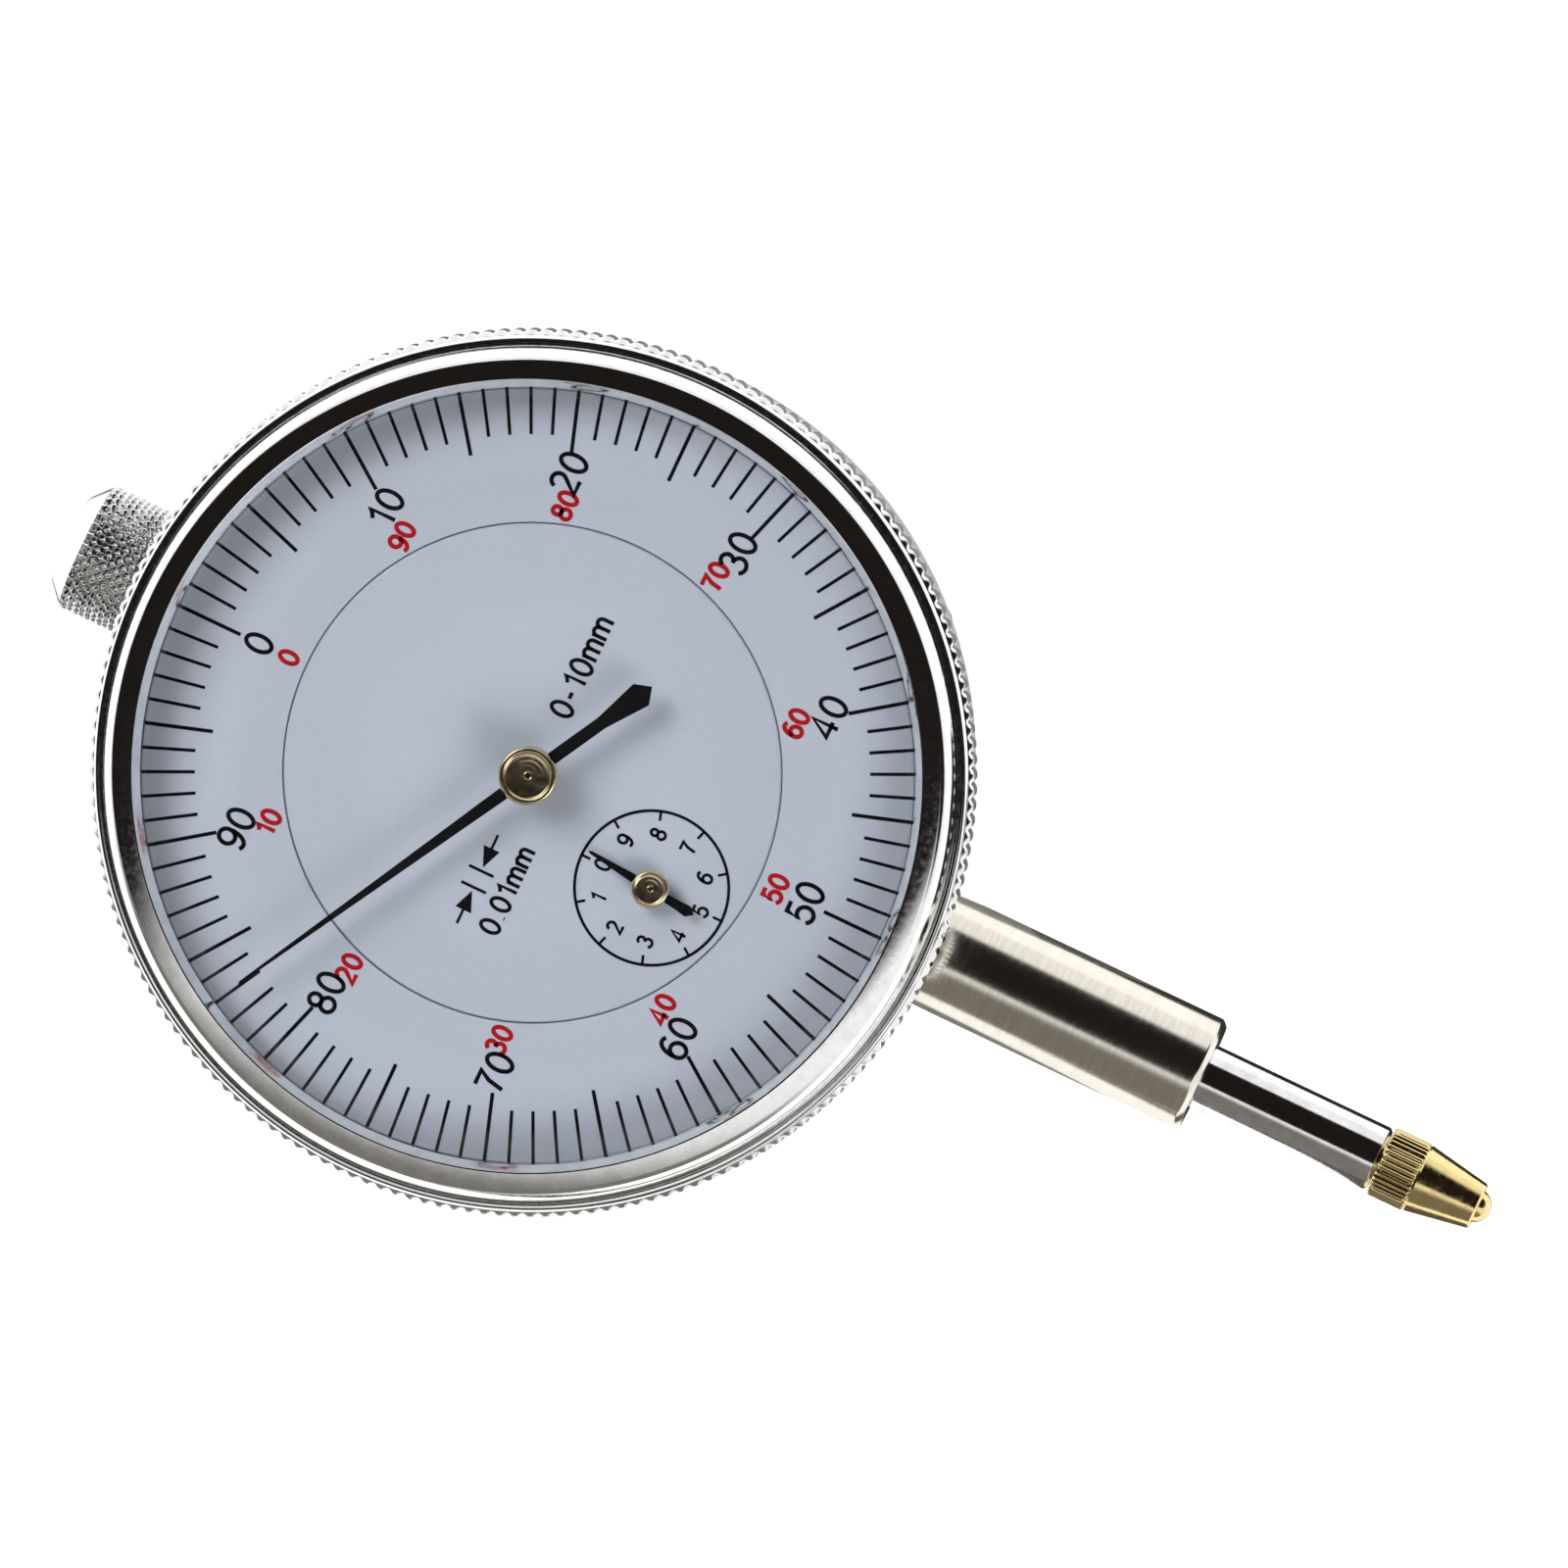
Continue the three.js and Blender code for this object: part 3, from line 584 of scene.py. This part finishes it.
def inner_disc():
    """The fixed disc, with a hole for the main hand's arbor."""
    low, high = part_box("inner_dial_disc")[0].y / MM, FACE_Y + 0.6
    profile = rounded(tube(1.2, DISC_R, low, high), 0.26, 5)
    disc = turned("dial_disc", profile[1:], 240, about_dial, closed=True)
    finish_piece(disc, "case", DIAL_WHITE, ["inner_dial_disc"])


def counter_print():
    """The revolution counter's ring, ticks and digits, and the captions."""
    ring = []
    inner, outer, steps = 5.04, 5.24, 96
    for k in range(steps):
        a, b = 2 * math.pi * k / steps, 2 * math.pi * (k + 1) / steps
        ring.append([polar(inner, a), polar(outer, a), polar(outer, b), polar(inner, b)])
    for k in range(10):
        ring.append(bar(math.pi / 2 + 2 * math.pi * k / 10, 4.5, 5.1, 0.18))
    piece = slab("counter_ring", ring, PRINT_TOP, PRINT_FOOT, SMALL)
    finish_piece(piece, "case", INK_BLACK)
    labels = []
    for k in range(10):
        labels.append((str(k), *polar(3.6, math.pi / 2 + 2 * math.pi * k / 10), 1.2, 0.2, SMALL))
    labels.append(("0-10mm", 7.8, 0.0, 1.74, 0.26, DIAL))
    labels.append(("0.01mm", -7.8, -1.8, 1.58, 0.25, DIAL))
    piece = lettering("disc_lettering", labels)
    finish_piece(piece, "case", INK_BLACK)


def interval_symbol():
    """Two arrows that point at two short lines, over the graduation's value."""
    symbol = []
    z = 0.3
    for side, tip in ((-1, -8.8), (1, -7.1)):
        neck = tip + side * 1.4
        symbol.append([(tip, z), (neck, z + 0.58), (neck, z - 0.58)])
        symbol.append(rectangle(*sorted((neck, neck + side)), z - 0.09, z + 0.09))
        wall = tip - side * 0.25
        symbol.append(rectangle(wall - 0.1, wall + 0.1, z - 0.9, z + 0.9))
    piece = slab("interval_symbol", symbol, PRINT_TOP, PRINT_FOOT)
    finish_piece(piece, "case", INK_BLACK)


# ---------------------------------------------------------------- hands


def hand_outline(tip, tip_half, arm_half, boss, neck_end, tail_half, flare_end, tail, clockwise):
    """A needle, a round boss and a tail that widens to a blunt end, turned clockwise from straight up."""
    side = [(0, tip), (-tip_half, tip - 2 * tip_half), (-arm_half, boss)]
    side += [polar(boss, math.radians(115 + 13 * i)) for i in range(11)]
    side += [(-arm_half, -boss), (-arm_half, -neck_end), (-tail_half, -flare_end), (0, -tail)]
    other = [(-x, y) for x, y in reversed(side[1:-1])]
    turn = Matrix.Rotation(-clockwise, 2)
    return [tuple(turn @ Vector(p)) for p in side + other]


def hub_piece(name, head, neck, front, shoulder, back, place, body, material, replaces):
    """A turned hub: a head with a raised rim round a sunk face, and a neck behind it."""
    profile = rounded([
        (0, front + 0.22), (head * 0.76, front + 0.22), (head * 0.8, front), (head - 0.14, front),
        (head, front + 0.16), (head, shoulder), (neck, shoulder), (neck, back), (0, back),
    ], 0.06, 3)
    piece = turned(name, profile, 72, place)
    finish_piece(piece, body, material, replaces)


def hands():
    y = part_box("main_hand")
    outline = hand_outline(23.9, 0.08, 0.43, 1.7, 6, 0.88, 9.2, 10.1, -2 * math.pi * HAND_LAG)
    piece = slab("hand_main", [outline], y[0].y / MM, y[1].y / MM)
    finish_piece(piece, "centre_arbor", HAND_BLACK, ["main_hand"])
    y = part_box("small_hand")
    outline = hand_outline(4.83, 0.1, 0.3, 1.1, 1.8, 0.38, 2.9, 3.35, 2 * math.pi * HAND_LAG / 10)
    piece = slab("hand_small", [outline], y[0].y / MM, y[1].y / MM, SMALL)
    finish_piece(piece, "rack_arbor", HAND_BLACK, ["small_hand"])
    hub_piece("hub_main", 1.98, 1.0, -12.8, -11.85, -10.95, about_dial, "centre_arbor", HUB_MAIN,
              ["main_hand_hub"])
    hub_piece("hub_small", 1.28, 0.7, -11.0, -10.45, -9.75, about_small, "rack_arbor", HUB_SMALL,
              ["small_hand_hub"])


def pivots():
    """The arbors' ends, seen in the middle of the hubs."""
    for name, place, radius, front, body in (
        ("pivot_main", about_dial, 0.3, -12.63, "centre_arbor"),
        ("pivot_small", about_small, 0.24, -10.83, "rack_arbor"),
    ):
        back = front + 0.3
        profile = rounded([
            (0, front), (radius * 0.8, front), (radius, front + 0.05), (radius, back), (0, back),
        ], 0.04, 2)
        piece = turned(name, profile, 32, place)
        finish_piece(piece, body, BRASS)


# ---------------------------------------------------------------- case, stem and spindle


def case():
    """The drum, with bores for the stem and the upper bushing."""
    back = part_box("case_body")[1].y / MM
    profile = rounded([
        (25.2, 0), (25.2, back), (27.7, back), (28.2, back - 0.5), (28.2, -6.9), (27.2, -6.9),
        (27.2, -7.4), (26.6, -7.4), (26.6, -8.1), (27.2, -8.1), (27.2, -8.4), (22.3, -8.4),
        (22.3, -7.7), (25.2, -7.7), (25.2, 0),
    ], 0.12, 3)
    piece = turned("case_shell", profile[1:], 240, about_dial, closed=True)
    stem_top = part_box("stem")[1].z / MM
    bushing_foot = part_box("upper_bushing")[0].z / MM
    for radius, low, high in (
        (4.05, stem_top - 11, stem_top + 3),
        (3.35, bushing_foot - 3, bushing_foot + 11),
    ):
        bore = [(0, low), (radius, low), (radius, high), (0, high)]
        subtract(piece, turned("cutter", bore, 64, about_spindle))
    finish_piece(piece, "case", CASE_ALLOY, ["case_body"])


def rear_cover():
    """The cover, with a shallow ring groove and recesses for its four screws."""
    low, high = (c.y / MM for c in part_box("rear_cover"))
    groove = high - 0.12
    profile = rounded([
        (0, low), (28, low), (28, high - 0.5), (27.5, high), (22, high), (21.8, groove),
        (20.8, groove), (20.6, high), (0, high),
    ], 0.12, 3)
    piece = turned("rear_cover_plate", profile, 240, about_dial)
    for k in range(4):
        screw_low, screw_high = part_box(f"cover_screw_{k + 1}")
        middle = (screw_low + screw_high) / 2 / MM
        seat = high - 0.65
        recess = [(0, seat), (1.5, seat), (1.5, high + 1), (0, high + 1)]
        subtract(piece, turned("cutter", recess, 48, lambda a, b, h: (middle.x + a, h, middle.z + b)))
    finish_piece(piece, "case", COVER_ALLOY, ["rear_cover"])


def stem():
    """The clamping stem: a tube with its lower edges chamfered."""
    low, high = (c.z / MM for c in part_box("stem"))
    bore, outside, middle = 2.3, 4, (low + high) / 2
    profile = rounded([
        (bore, middle), (bore, low + 0.3), (bore + 0.3, low), (outside - 0.4, low),
        (outside, low + 0.4), (outside, high), (bore, high), (bore, middle),
    ], 0.1, 3)
    piece = turned("stem_tube", profile[1:], 128, about_spindle, closed=True)
    finish_piece(piece, "case", STEM_STEEL, ["stem"])


def spindle():
    """The round spindle with the rack cut into its left side."""
    low, high = (c.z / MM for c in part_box("spindle"))
    radius, teeth = 2.25, 26
    start = SMALL.z - 21.5 * RACK_PITCH
    end = start + teeth * RACK_PITCH
    heights = [(low, radius - 0.25), (low + 0.25, radius), (low + 9, radius), (start - 1, radius)]
    rows = [(z, r, -radius) for z, r in heights] + [(start - 0.001, radius, -radius)]
    for k in range(teeth):
        z = start + k * RACK_PITCH
        for share, flat in ((0.0, RACK_TOP), (0.14, RACK_TOP), (0.39, RACK_FOOT), (0.61, RACK_FOOT),
                            (0.86, RACK_TOP)):
            rows.append((z + share * RACK_PITCH, radius, flat))
    rows += [(end, radius, RACK_TOP), (end + 0.001, radius, -radius)]
    rows += [(high - 0.4, radius, -radius), (high, radius - 0.4, -radius)]
    segments = 96
    vertices = []
    for z, r, flat in rows:
        for k in range(segments):
            x, y = polar(r, 2 * math.pi * k / segments)
            vertices.append((max(x, flat), y, z))
    faces = []
    for i in range(len(rows) - 1):
        for k in range(segments):
            n = (k + 1) % segments
            row, above = i * segments, (i + 1) * segments
            faces.append((row + k, row + n, above + n, above + k))
    faces.append(tuple(reversed(range(segments))))
    faces.append(tuple(range(len(vertices) - segments, len(vertices))))
    piece = new_object("spindle_rod", vertices, faces, 30)
    outward(piece)
    finish_piece(piece, "spindle", SPINDLE_STEEL, ["spindle"])


def contact():
    """Screw-in contact point: straight-knurled collar, cone and ball nose."""
    tip, top = (c.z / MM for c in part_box("contact_point"))
    shank, nose, grip, groove = 1.15, 1.15, 2.42, 2.3  # radii
    collar = tip + 8
    teeth = 36
    knurl = [(grip, collar - 0.12 - 2.4 * i / 8) for i in range(9)]
    ball = [polar(nose, math.radians(-16 - 74 * i / 12)) for i in range(12)]
    profile = [(0, top), (shank, top), (shank, collar), (groove, collar)] + knurl
    profile += [
        (groove, collar - 2.62), (2.36, collar - 2.75), (1.62, collar - 7.0), (1.5, collar - 7.12),
        (nose + 0.01, collar - 7.14),
    ]
    profile += [(x, tip + nose + z) for x, z in ball] + [(0, tip)]

    def relief(radius, height, angle):
        if radius < grip - 0.02:
            return 0
        return -0.15 * (1 - abs(math.sin(teeth / 2 * angle)))

    piece = turned("contact_tip", profile, 352, about_spindle, relief, smooth_angle=32)
    finish_piece(piece, "spindle", CONTACT_BRASS, ["contact_point"])


def dust_cap():
    """Cap with a diamond knurl on its side and a chamfered top."""
    low, high = (c.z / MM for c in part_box("dust_cap"))
    side, bore = 4.5, 3.3
    knurl_foot, knurl_top, rows = low + 0.15, high - 1.35, 44
    knurl = [(side, knurl_foot + (knurl_top - knurl_foot) * i / rows) for i in range(rows + 1)]
    profile = [(0, high - 1.0), (bore, high - 1.2), (bore, low), (side - 0.2, low)] + knurl
    profile += [(side - 0.14, high - 1.2)]
    profile += rounded([(side - 0.2, high - 1.15), (3.1, high - 0.08), (2.9, high), (1.5, high)], 0.2, 4)
    profile += [(0, high)]
    pairs = 34  # grooves each way
    lead = 2 * math.pi / pairs / 0.86  # turn of a groove for each millimetre of height

    def relief(radius, height, angle):
        if radius < side - 0.05:
            return 0
        right = abs(math.sin(pairs / 2 * (angle + height * lead)))
        left = abs(math.sin(pairs / 2 * (angle - height * lead)))
        return -0.42 * (1 - min(right, left) ** 0.8)

    piece = turned("dust_cap_knurled", profile, 510, about_spindle, relief, smooth_angle=60)
    finish_piece(piece, "case", CHROME, ["dust_cap"])


# ---------------------------------------------------------------- back: lug and screws


def lug():
    """A round pad with an upright tab on it, bored across."""
    low, high = (c.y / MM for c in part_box("mounting_lug"))
    centre_y, half, bore, thick = 15.2, 5.5, 3.25, 2.5
    pad = low + 1.15
    outer = [(-half, low + 0.3), (half, low + 0.3)]
    outer += [(half * math.cos(a), centre_y + half * math.sin(a))
              for a in [math.pi * i / 32 for i in range(33)]]
    hole = [(bore * math.cos(2 * math.pi * i / 64), centre_y + bore * math.sin(2 * math.pi * i / 64))
            for i in range(64)]
    tab = tab_with_hole("lug_tab", outer, hole, thick)
    finish_piece(tab, "case", SCREW_STEEL, ["mounting_lug"])
    profile = rounded([(0, low), (9.5, low), (9.5, pad - 0.3), (9.2, pad), (0, pad)], 0.15, 3)
    piece = turned("lug_pad", profile, 128, about_dial)
    finish_piece(piece, "case", SCREW_STEEL)


def tab_with_hole(name, outer, hole, half_thickness):
    """A plate across X with a round hole, from (z, y) outlines, edges bevelled."""
    curve = bpy.data.curves.new(name, "CURVE")
    curve.dimensions = "2D"
    curve.fill_mode = "BOTH"
    bevel = 0.2
    curve.extrude = (half_thickness - bevel) * MM
    curve.bevel_depth = bevel * MM
    curve.bevel_resolution = 2
    curve.offset = -bevel * MM
    for outline in (outer, hole):
        spline = curve.splines.new("POLY")
        spline.points.add(len(outline) - 1)
        for point, (a, b) in zip(spline.points, outline):
            point.co = (a * MM, b * MM, 0, 1)
        spline.use_cyclic_u = True
    holder = bpy.data.objects.new(name, curve)
    mesh = bpy.data.meshes.new_from_object(holder)
    bpy.data.objects.remove(holder)
    mesh.transform(Matrix(((0, 0, 1, DIAL.x * MM), (0, 1, 0, 0), (1, 0, 0, DIAL.z * MM), (0, 0, 0, 1))))
    for polygon in mesh.polygons:
        polygon.use_smooth = True
    mesh.set_sharp_from_angle(angle=math.radians(40))
    piece = bpy.data.objects.new(name, mesh)
    bpy.context.scene.collection.objects.link(piece)
    outward(piece)
    return piece


def screw_head(node):
    """A slotted cheese-head screw in place of a CAD screw, head towards +Y."""
    low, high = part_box(node)
    x, z = (low.x + high.x) / 2 / MM, (low.z + high.z) / 2 / MM
    radius = (high.x - low.x) / 2 / MM
    top, tip = high.y / MM, low.y / MM
    shank = radius * 0.5
    head = top - 0.55
    profile = rounded([(0, tip), (shank, tip), (shank, head), (radius, head), (radius, top - 0.18),
                       (radius - 0.2, top), (0, top)], 0.08, 3)
    piece = turned(node + "_turned", profile, 64, lambda a, b, h: (x + a, h, z + b))
    slot_depth, slot_half_width = 0.26, 0.17
    corners = box_vertices(x, top, z, radius * 1.3, slot_depth, slot_half_width)
    cutter = new_object("cutter", corners, BOX_FACES)
    subtract(piece, cutter)
    finish_piece(piece, "case", SCREW_STEEL, [node])


# ---------------------------------------------------------------- springs


def return_spring():
    """A close coil with a hook at each end, which stretches between case and spindle."""
    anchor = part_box("spring_anchor")
    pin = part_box("guide_pin")
    y = (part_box("return_spring")[0].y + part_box("return_spring")[1].y) / 2 / MM
    foot = (anchor[0].z + anchor[1].z) / 2 / MM
    head = (pin[0].z + pin[1].z) / 2 / MM
    points = []
    for i in range(37):
        angle = math.radians(130 + 8 * i)
        points.append((math.cos(angle), y, foot + math.sin(angle)))
    low, high, turns, per_turn = foot + 1.9, head - 1.9, 26, 20
    for i in range(turns * per_turn + 1):
        angle = 2 * math.pi * i / per_turn
        points.append((math.cos(angle), y + math.sin(angle), low + (high - low) * i / turns / per_turn))
    for i in range(37):
        angle = math.radians(-58 + 8 * i)
        points.append((math.cos(angle), y, head + math.sin(angle)))
    piece = wire("return_spring_coil", points, 0.15, 8)
    piece.data.materials.append(SPRING_STEEL)
    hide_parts("return_spring")
    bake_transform(piece)


def hairspring():
    """A flat spiral from the collet out to the stud."""
    low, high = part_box("hairspring")
    centre = Vector(JOINTS["hairspring_arbor_turn"]["pos_m"]) / MM
    inner = []
    outer = []
    count = 300
    for i in range(count + 1):
        angle = math.radians(20) - (count - i) * 8 * math.pi / count
        radius = 1.4 + 4.05 * i / count
        outer.append(polar(radius + 0.04, angle))
        inner.append(polar(radius - 0.04, angle))
    piece = slab("hairspring_coil", [outer + inner[::-1]], low.y / MM, high.y / MM, centre)
    finish_piece(piece, "case", SPRING_STEEL, ["hairspring"])


# ---------------------------------------------------------------- materials of the CAD nodes that stay


def dress_cad():
    """Every CAD node that stays visible gets its procedural material."""
    looks = {
        "brass": PLATE_BRASS,
        "steel": SCREW_STEEL,
        "chrome": CHROME,
        "case_alloy": CASE_ALLOY,
        "dial_face": DIAL_WHITE,
        "hand_black": HAND_BLACK,
        "black_ring": GASKET_BLACK,
        "crystal": CRYSTAL,
    }
    for part in frame["record"]["subparts"]:
        node = frame["nodes"][part["node"]]
        node.data.materials.clear()
        node.data.materials.append(looks[part["material_slot"]])
    for name in ("rack_gear", "hairspring_gear", "hairspring_collet"):
        frame["nodes"][name].data.materials.clear()
        frame["nodes"][name].data.materials.append(BRASS)


# ---------------------------------------------------------------- stage, light and camera

VIEW_AZIMUTH = math.radians(5.48)
VIEW_ELEVATION = math.radians(-2.95)
VIEW_ROLL = math.radians(64.61)
VIEW_TARGET = Vector((5.50, 1.30, 24.10)) * MM
VIEW_DISTANCE = 1.5
VIEW_LENS = 516


def view_axes():
    """Camera right, up and back, from the viewing angles."""
    back = Vector((
        math.sin(VIEW_AZIMUTH) * math.cos(VIEW_ELEVATION),
        -math.cos(VIEW_AZIMUTH) * math.cos(VIEW_ELEVATION),
        math.sin(VIEW_ELEVATION),
    ))
    right = Vector((0, 0, 1)).cross(back).normalized()
    up = back.cross(right)
    turn = Matrix.Rotation(-VIEW_ROLL, 3, back)
    return turn @ right, turn @ up, back


def camera():
    right, up, back = view_axes()
    data = bpy.data.cameras.new("camera")
    data.sensor_width = 36
    data.lens = VIEW_LENS
    data.clip_start = 0.01
    data.clip_end = 10
    seen = bpy.data.objects.new("camera", data)
    basis = Matrix((right, up, back)).transposed().to_4x4()
    seen.matrix_world = Matrix.Translation(VIEW_TARGET + back * VIEW_DISTANCE) @ basis
    bpy.context.scene.collection.objects.link(seen)
    bpy.context.scene.camera = seen


def stage():
    """A pale floor behind the indicator, as if it lay on its back. It can't be seen from behind."""
    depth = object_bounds()[1][1] + FLOOR_GAP * MM
    half = 1.2
    mesh = bpy.data.meshes.new("floor")
    corners = [(-half, depth, -half), (half, depth, -half), (half, depth, half), (-half, depth, half)]
    mesh.from_pydata(corners, [], [(0, 1, 2, 3)])
    floor = bpy.data.objects.new("floor", mesh)
    bpy.context.scene.collection.objects.link(floor)
    material = bpy.data.materials.new("pale_floor")
    material.use_nodes = True
    nodes, links = material.node_tree.nodes, material.node_tree.links
    shader = nodes["Principled BSDF"]
    shader.inputs["Roughness"].default_value = 0.9
    shader.inputs["Base Color"].default_value = (0.9, 0.9, 0.9, 1)
    shader.inputs["Emission Color"].default_value = (1, 1, 1, 1)
    shader.inputs["Emission Strength"].default_value = 0.75
    hidden = nodes.new("ShaderNodeBsdfTransparent")
    mix = nodes.new("ShaderNodeMixShader")
    links.new(nodes.new("ShaderNodeNewGeometry").outputs["Backfacing"], mix.inputs["Fac"])
    links.new(shader.outputs["BSDF"], mix.inputs[1])
    links.new(hidden.outputs["BSDF"], mix.inputs[2])
    links.new(mix.outputs["Shader"], nodes["Material Output"].inputs["Surface"])
    mesh.materials.append(material)
    floor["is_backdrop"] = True


def softbox(name, direction, distance, size, power, colour=(1, 1, 1)):
    """A square area light that faces the dial. direction is in camera axes: right, up, back."""
    right, up, back = view_axes()
    data = bpy.data.lights.new(name, "AREA")
    data.shape = "SQUARE"
    data.size = size
    data.energy = power
    data.color = colour
    lamp = bpy.data.objects.new(name, data)
    towards = (right * direction[0] + up * direction[1] + back * direction[2]).normalized()
    lamp.location = DIAL * MM + towards * distance
    lamp.rotation_euler = towards.to_track_quat("Z", "Y").to_euler()
    lamp.visible_glossy = False
    bpy.context.scene.collection.objects.link(lamp)


def off_axis(angle, side):
    """Direction at an angle from the viewing axis, towards a side counted round it from the right."""
    right, up, back = view_axes()
    a, b = math.radians(angle), math.radians(side)
    return back * math.cos(a) + (right * math.cos(b) + up * math.sin(b)) * math.sin(a)


def world():
    """Bright surroundings that polished metal mirrors, with a dark opening in front, dark panels to
    its left and right and a grey card below. The camera itself sees a plain pale backdrop."""
    scene = bpy.context.scene
    scene.world = bpy.data.worlds.new("studio")
    scene.world.use_nodes = True
    nodes, links = scene.world.node_tree.nodes, scene.world.node_tree.links
    background = nodes["Background"]
    coordinates = nodes.new("ShaderNodeTexCoord")

    def patch(below, axis, outer, inner, colour):
        """Lays a round patch of colour over what is below it."""
        dot = nodes.new("ShaderNodeVectorMath")
        dot.operation = "DOT_PRODUCT"
        dot.inputs[1].default_value = axis
        edge = nodes.new("ShaderNodeMapRange")
        edge.interpolation_type = "SMOOTHSTEP"
        edge.inputs["From Min"].default_value = math.cos(math.radians(outer))
        edge.inputs["From Max"].default_value = math.cos(math.radians(inner))
        mix = nodes.new("ShaderNodeMix")
        mix.data_type = "RGBA"
        mix.inputs["A"].default_value = (1, 1, 1, 1)
        mix.inputs["B"].default_value = (*colour, 1)
        links.new(coordinates.outputs["Generated"], dot.inputs[0])
        links.new(dot.outputs["Value"], edge.inputs["Value"])
        links.new(edge.outputs["Result"], mix.inputs["Factor"])
        if below:
            links.new(below, mix.inputs["A"])
        return mix.outputs["Result"]

    card = patch(None, off_axis(85, 248), 62, 44, (0.20, 0.19, 0.17))
    dark = (0.012, 0.010, 0.009)
    left = patch(card, off_axis(50, 168), 34, 24, dark)
    right = patch(left, off_axis(50, 12), 34, 24, dark)
    opening = patch(right, off_axis(16, 90), 41, 34, dark)
    pale = nodes.new("ShaderNodeMix")
    pale.data_type = "RGBA"
    pale.inputs["B"].default_value = (1, 1, 1, 1)
    links.new(nodes.new("ShaderNodeLightPath").outputs["Is Camera Ray"], pale.inputs["Factor"])
    links.new(opening, pale.inputs["A"])
    links.new(pale.outputs["Result"], background.inputs["Color"])
    background.inputs["Strength"].default_value = 1.0
    scene.view_settings.view_transform = "Standard"


def flag(name, outline, shade):
    """A grey card just above the floor that only polished metal mirrors, for darker edges."""
    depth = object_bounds()[1][1] / MM + FLAG_GAP
    count = len(outline)
    vertices = [(x, depth, z) for x, z in outline]
    card = new_object(name, vertices, [tuple(range(count))])
    material = painted(name, shade, 0.9)
    card.data.materials.append(material)
    card.visible_camera = False
    card.visible_diffuse = False
    card.visible_shadow = False
    card.visible_transmission = False
    card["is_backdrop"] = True


def flags():
    """Cards round the bezel, under the stem and to the stem's left."""
    ring = []
    for radius, step in ((44, 1), (30, -1)):
        angles = [math.radians(5 * k) for k in range(73)][::step]
        ring += [(DIAL.x + c, DIAL.z + d) for c, d in (polar(radius, a) for a in angles)]
    flag("flag_round", ring, (0.5, 0.5, 0.5))
    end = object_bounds()[0][2] / MM - 9
    flag("flag_stem", rectangle(-8, 26, end, 6), (0.03, 0.03, 0.03))
    low = [(-1150, end), (-8, end), (-8, -22), (-120, -14), (-300, 14), (-1150, 14)]
    flag("flag_low", low, (0.20, 0.19, 0.17))


def lights():
    softbox("key_light", (-0.75, 0.55, 1.0), 0.9, 0.45, 2.1, (0.97, 0.98, 1.0))
    softbox("fill_light", (0.6, -0.75, 0.9), 0.9, 0.4, 1.0)


dress_cad()
bezel()
crystal()
gasket()
graduated_dial()
clamp_ring()
inner_disc()
counter_print()
interval_symbol()
hands()
pivots()
case()
rear_cover()
stem()
spindle()
contact()
dust_cap()
lug()
for screw in [f"cover_screw_{i}" for i in (1, 2, 3, 4)] + ["lug_screw_1", "lug_screw_2"]:
    screw_head(screw)
return_spring()
hairspring()
camera()
world()
lights()
stage()
flags()
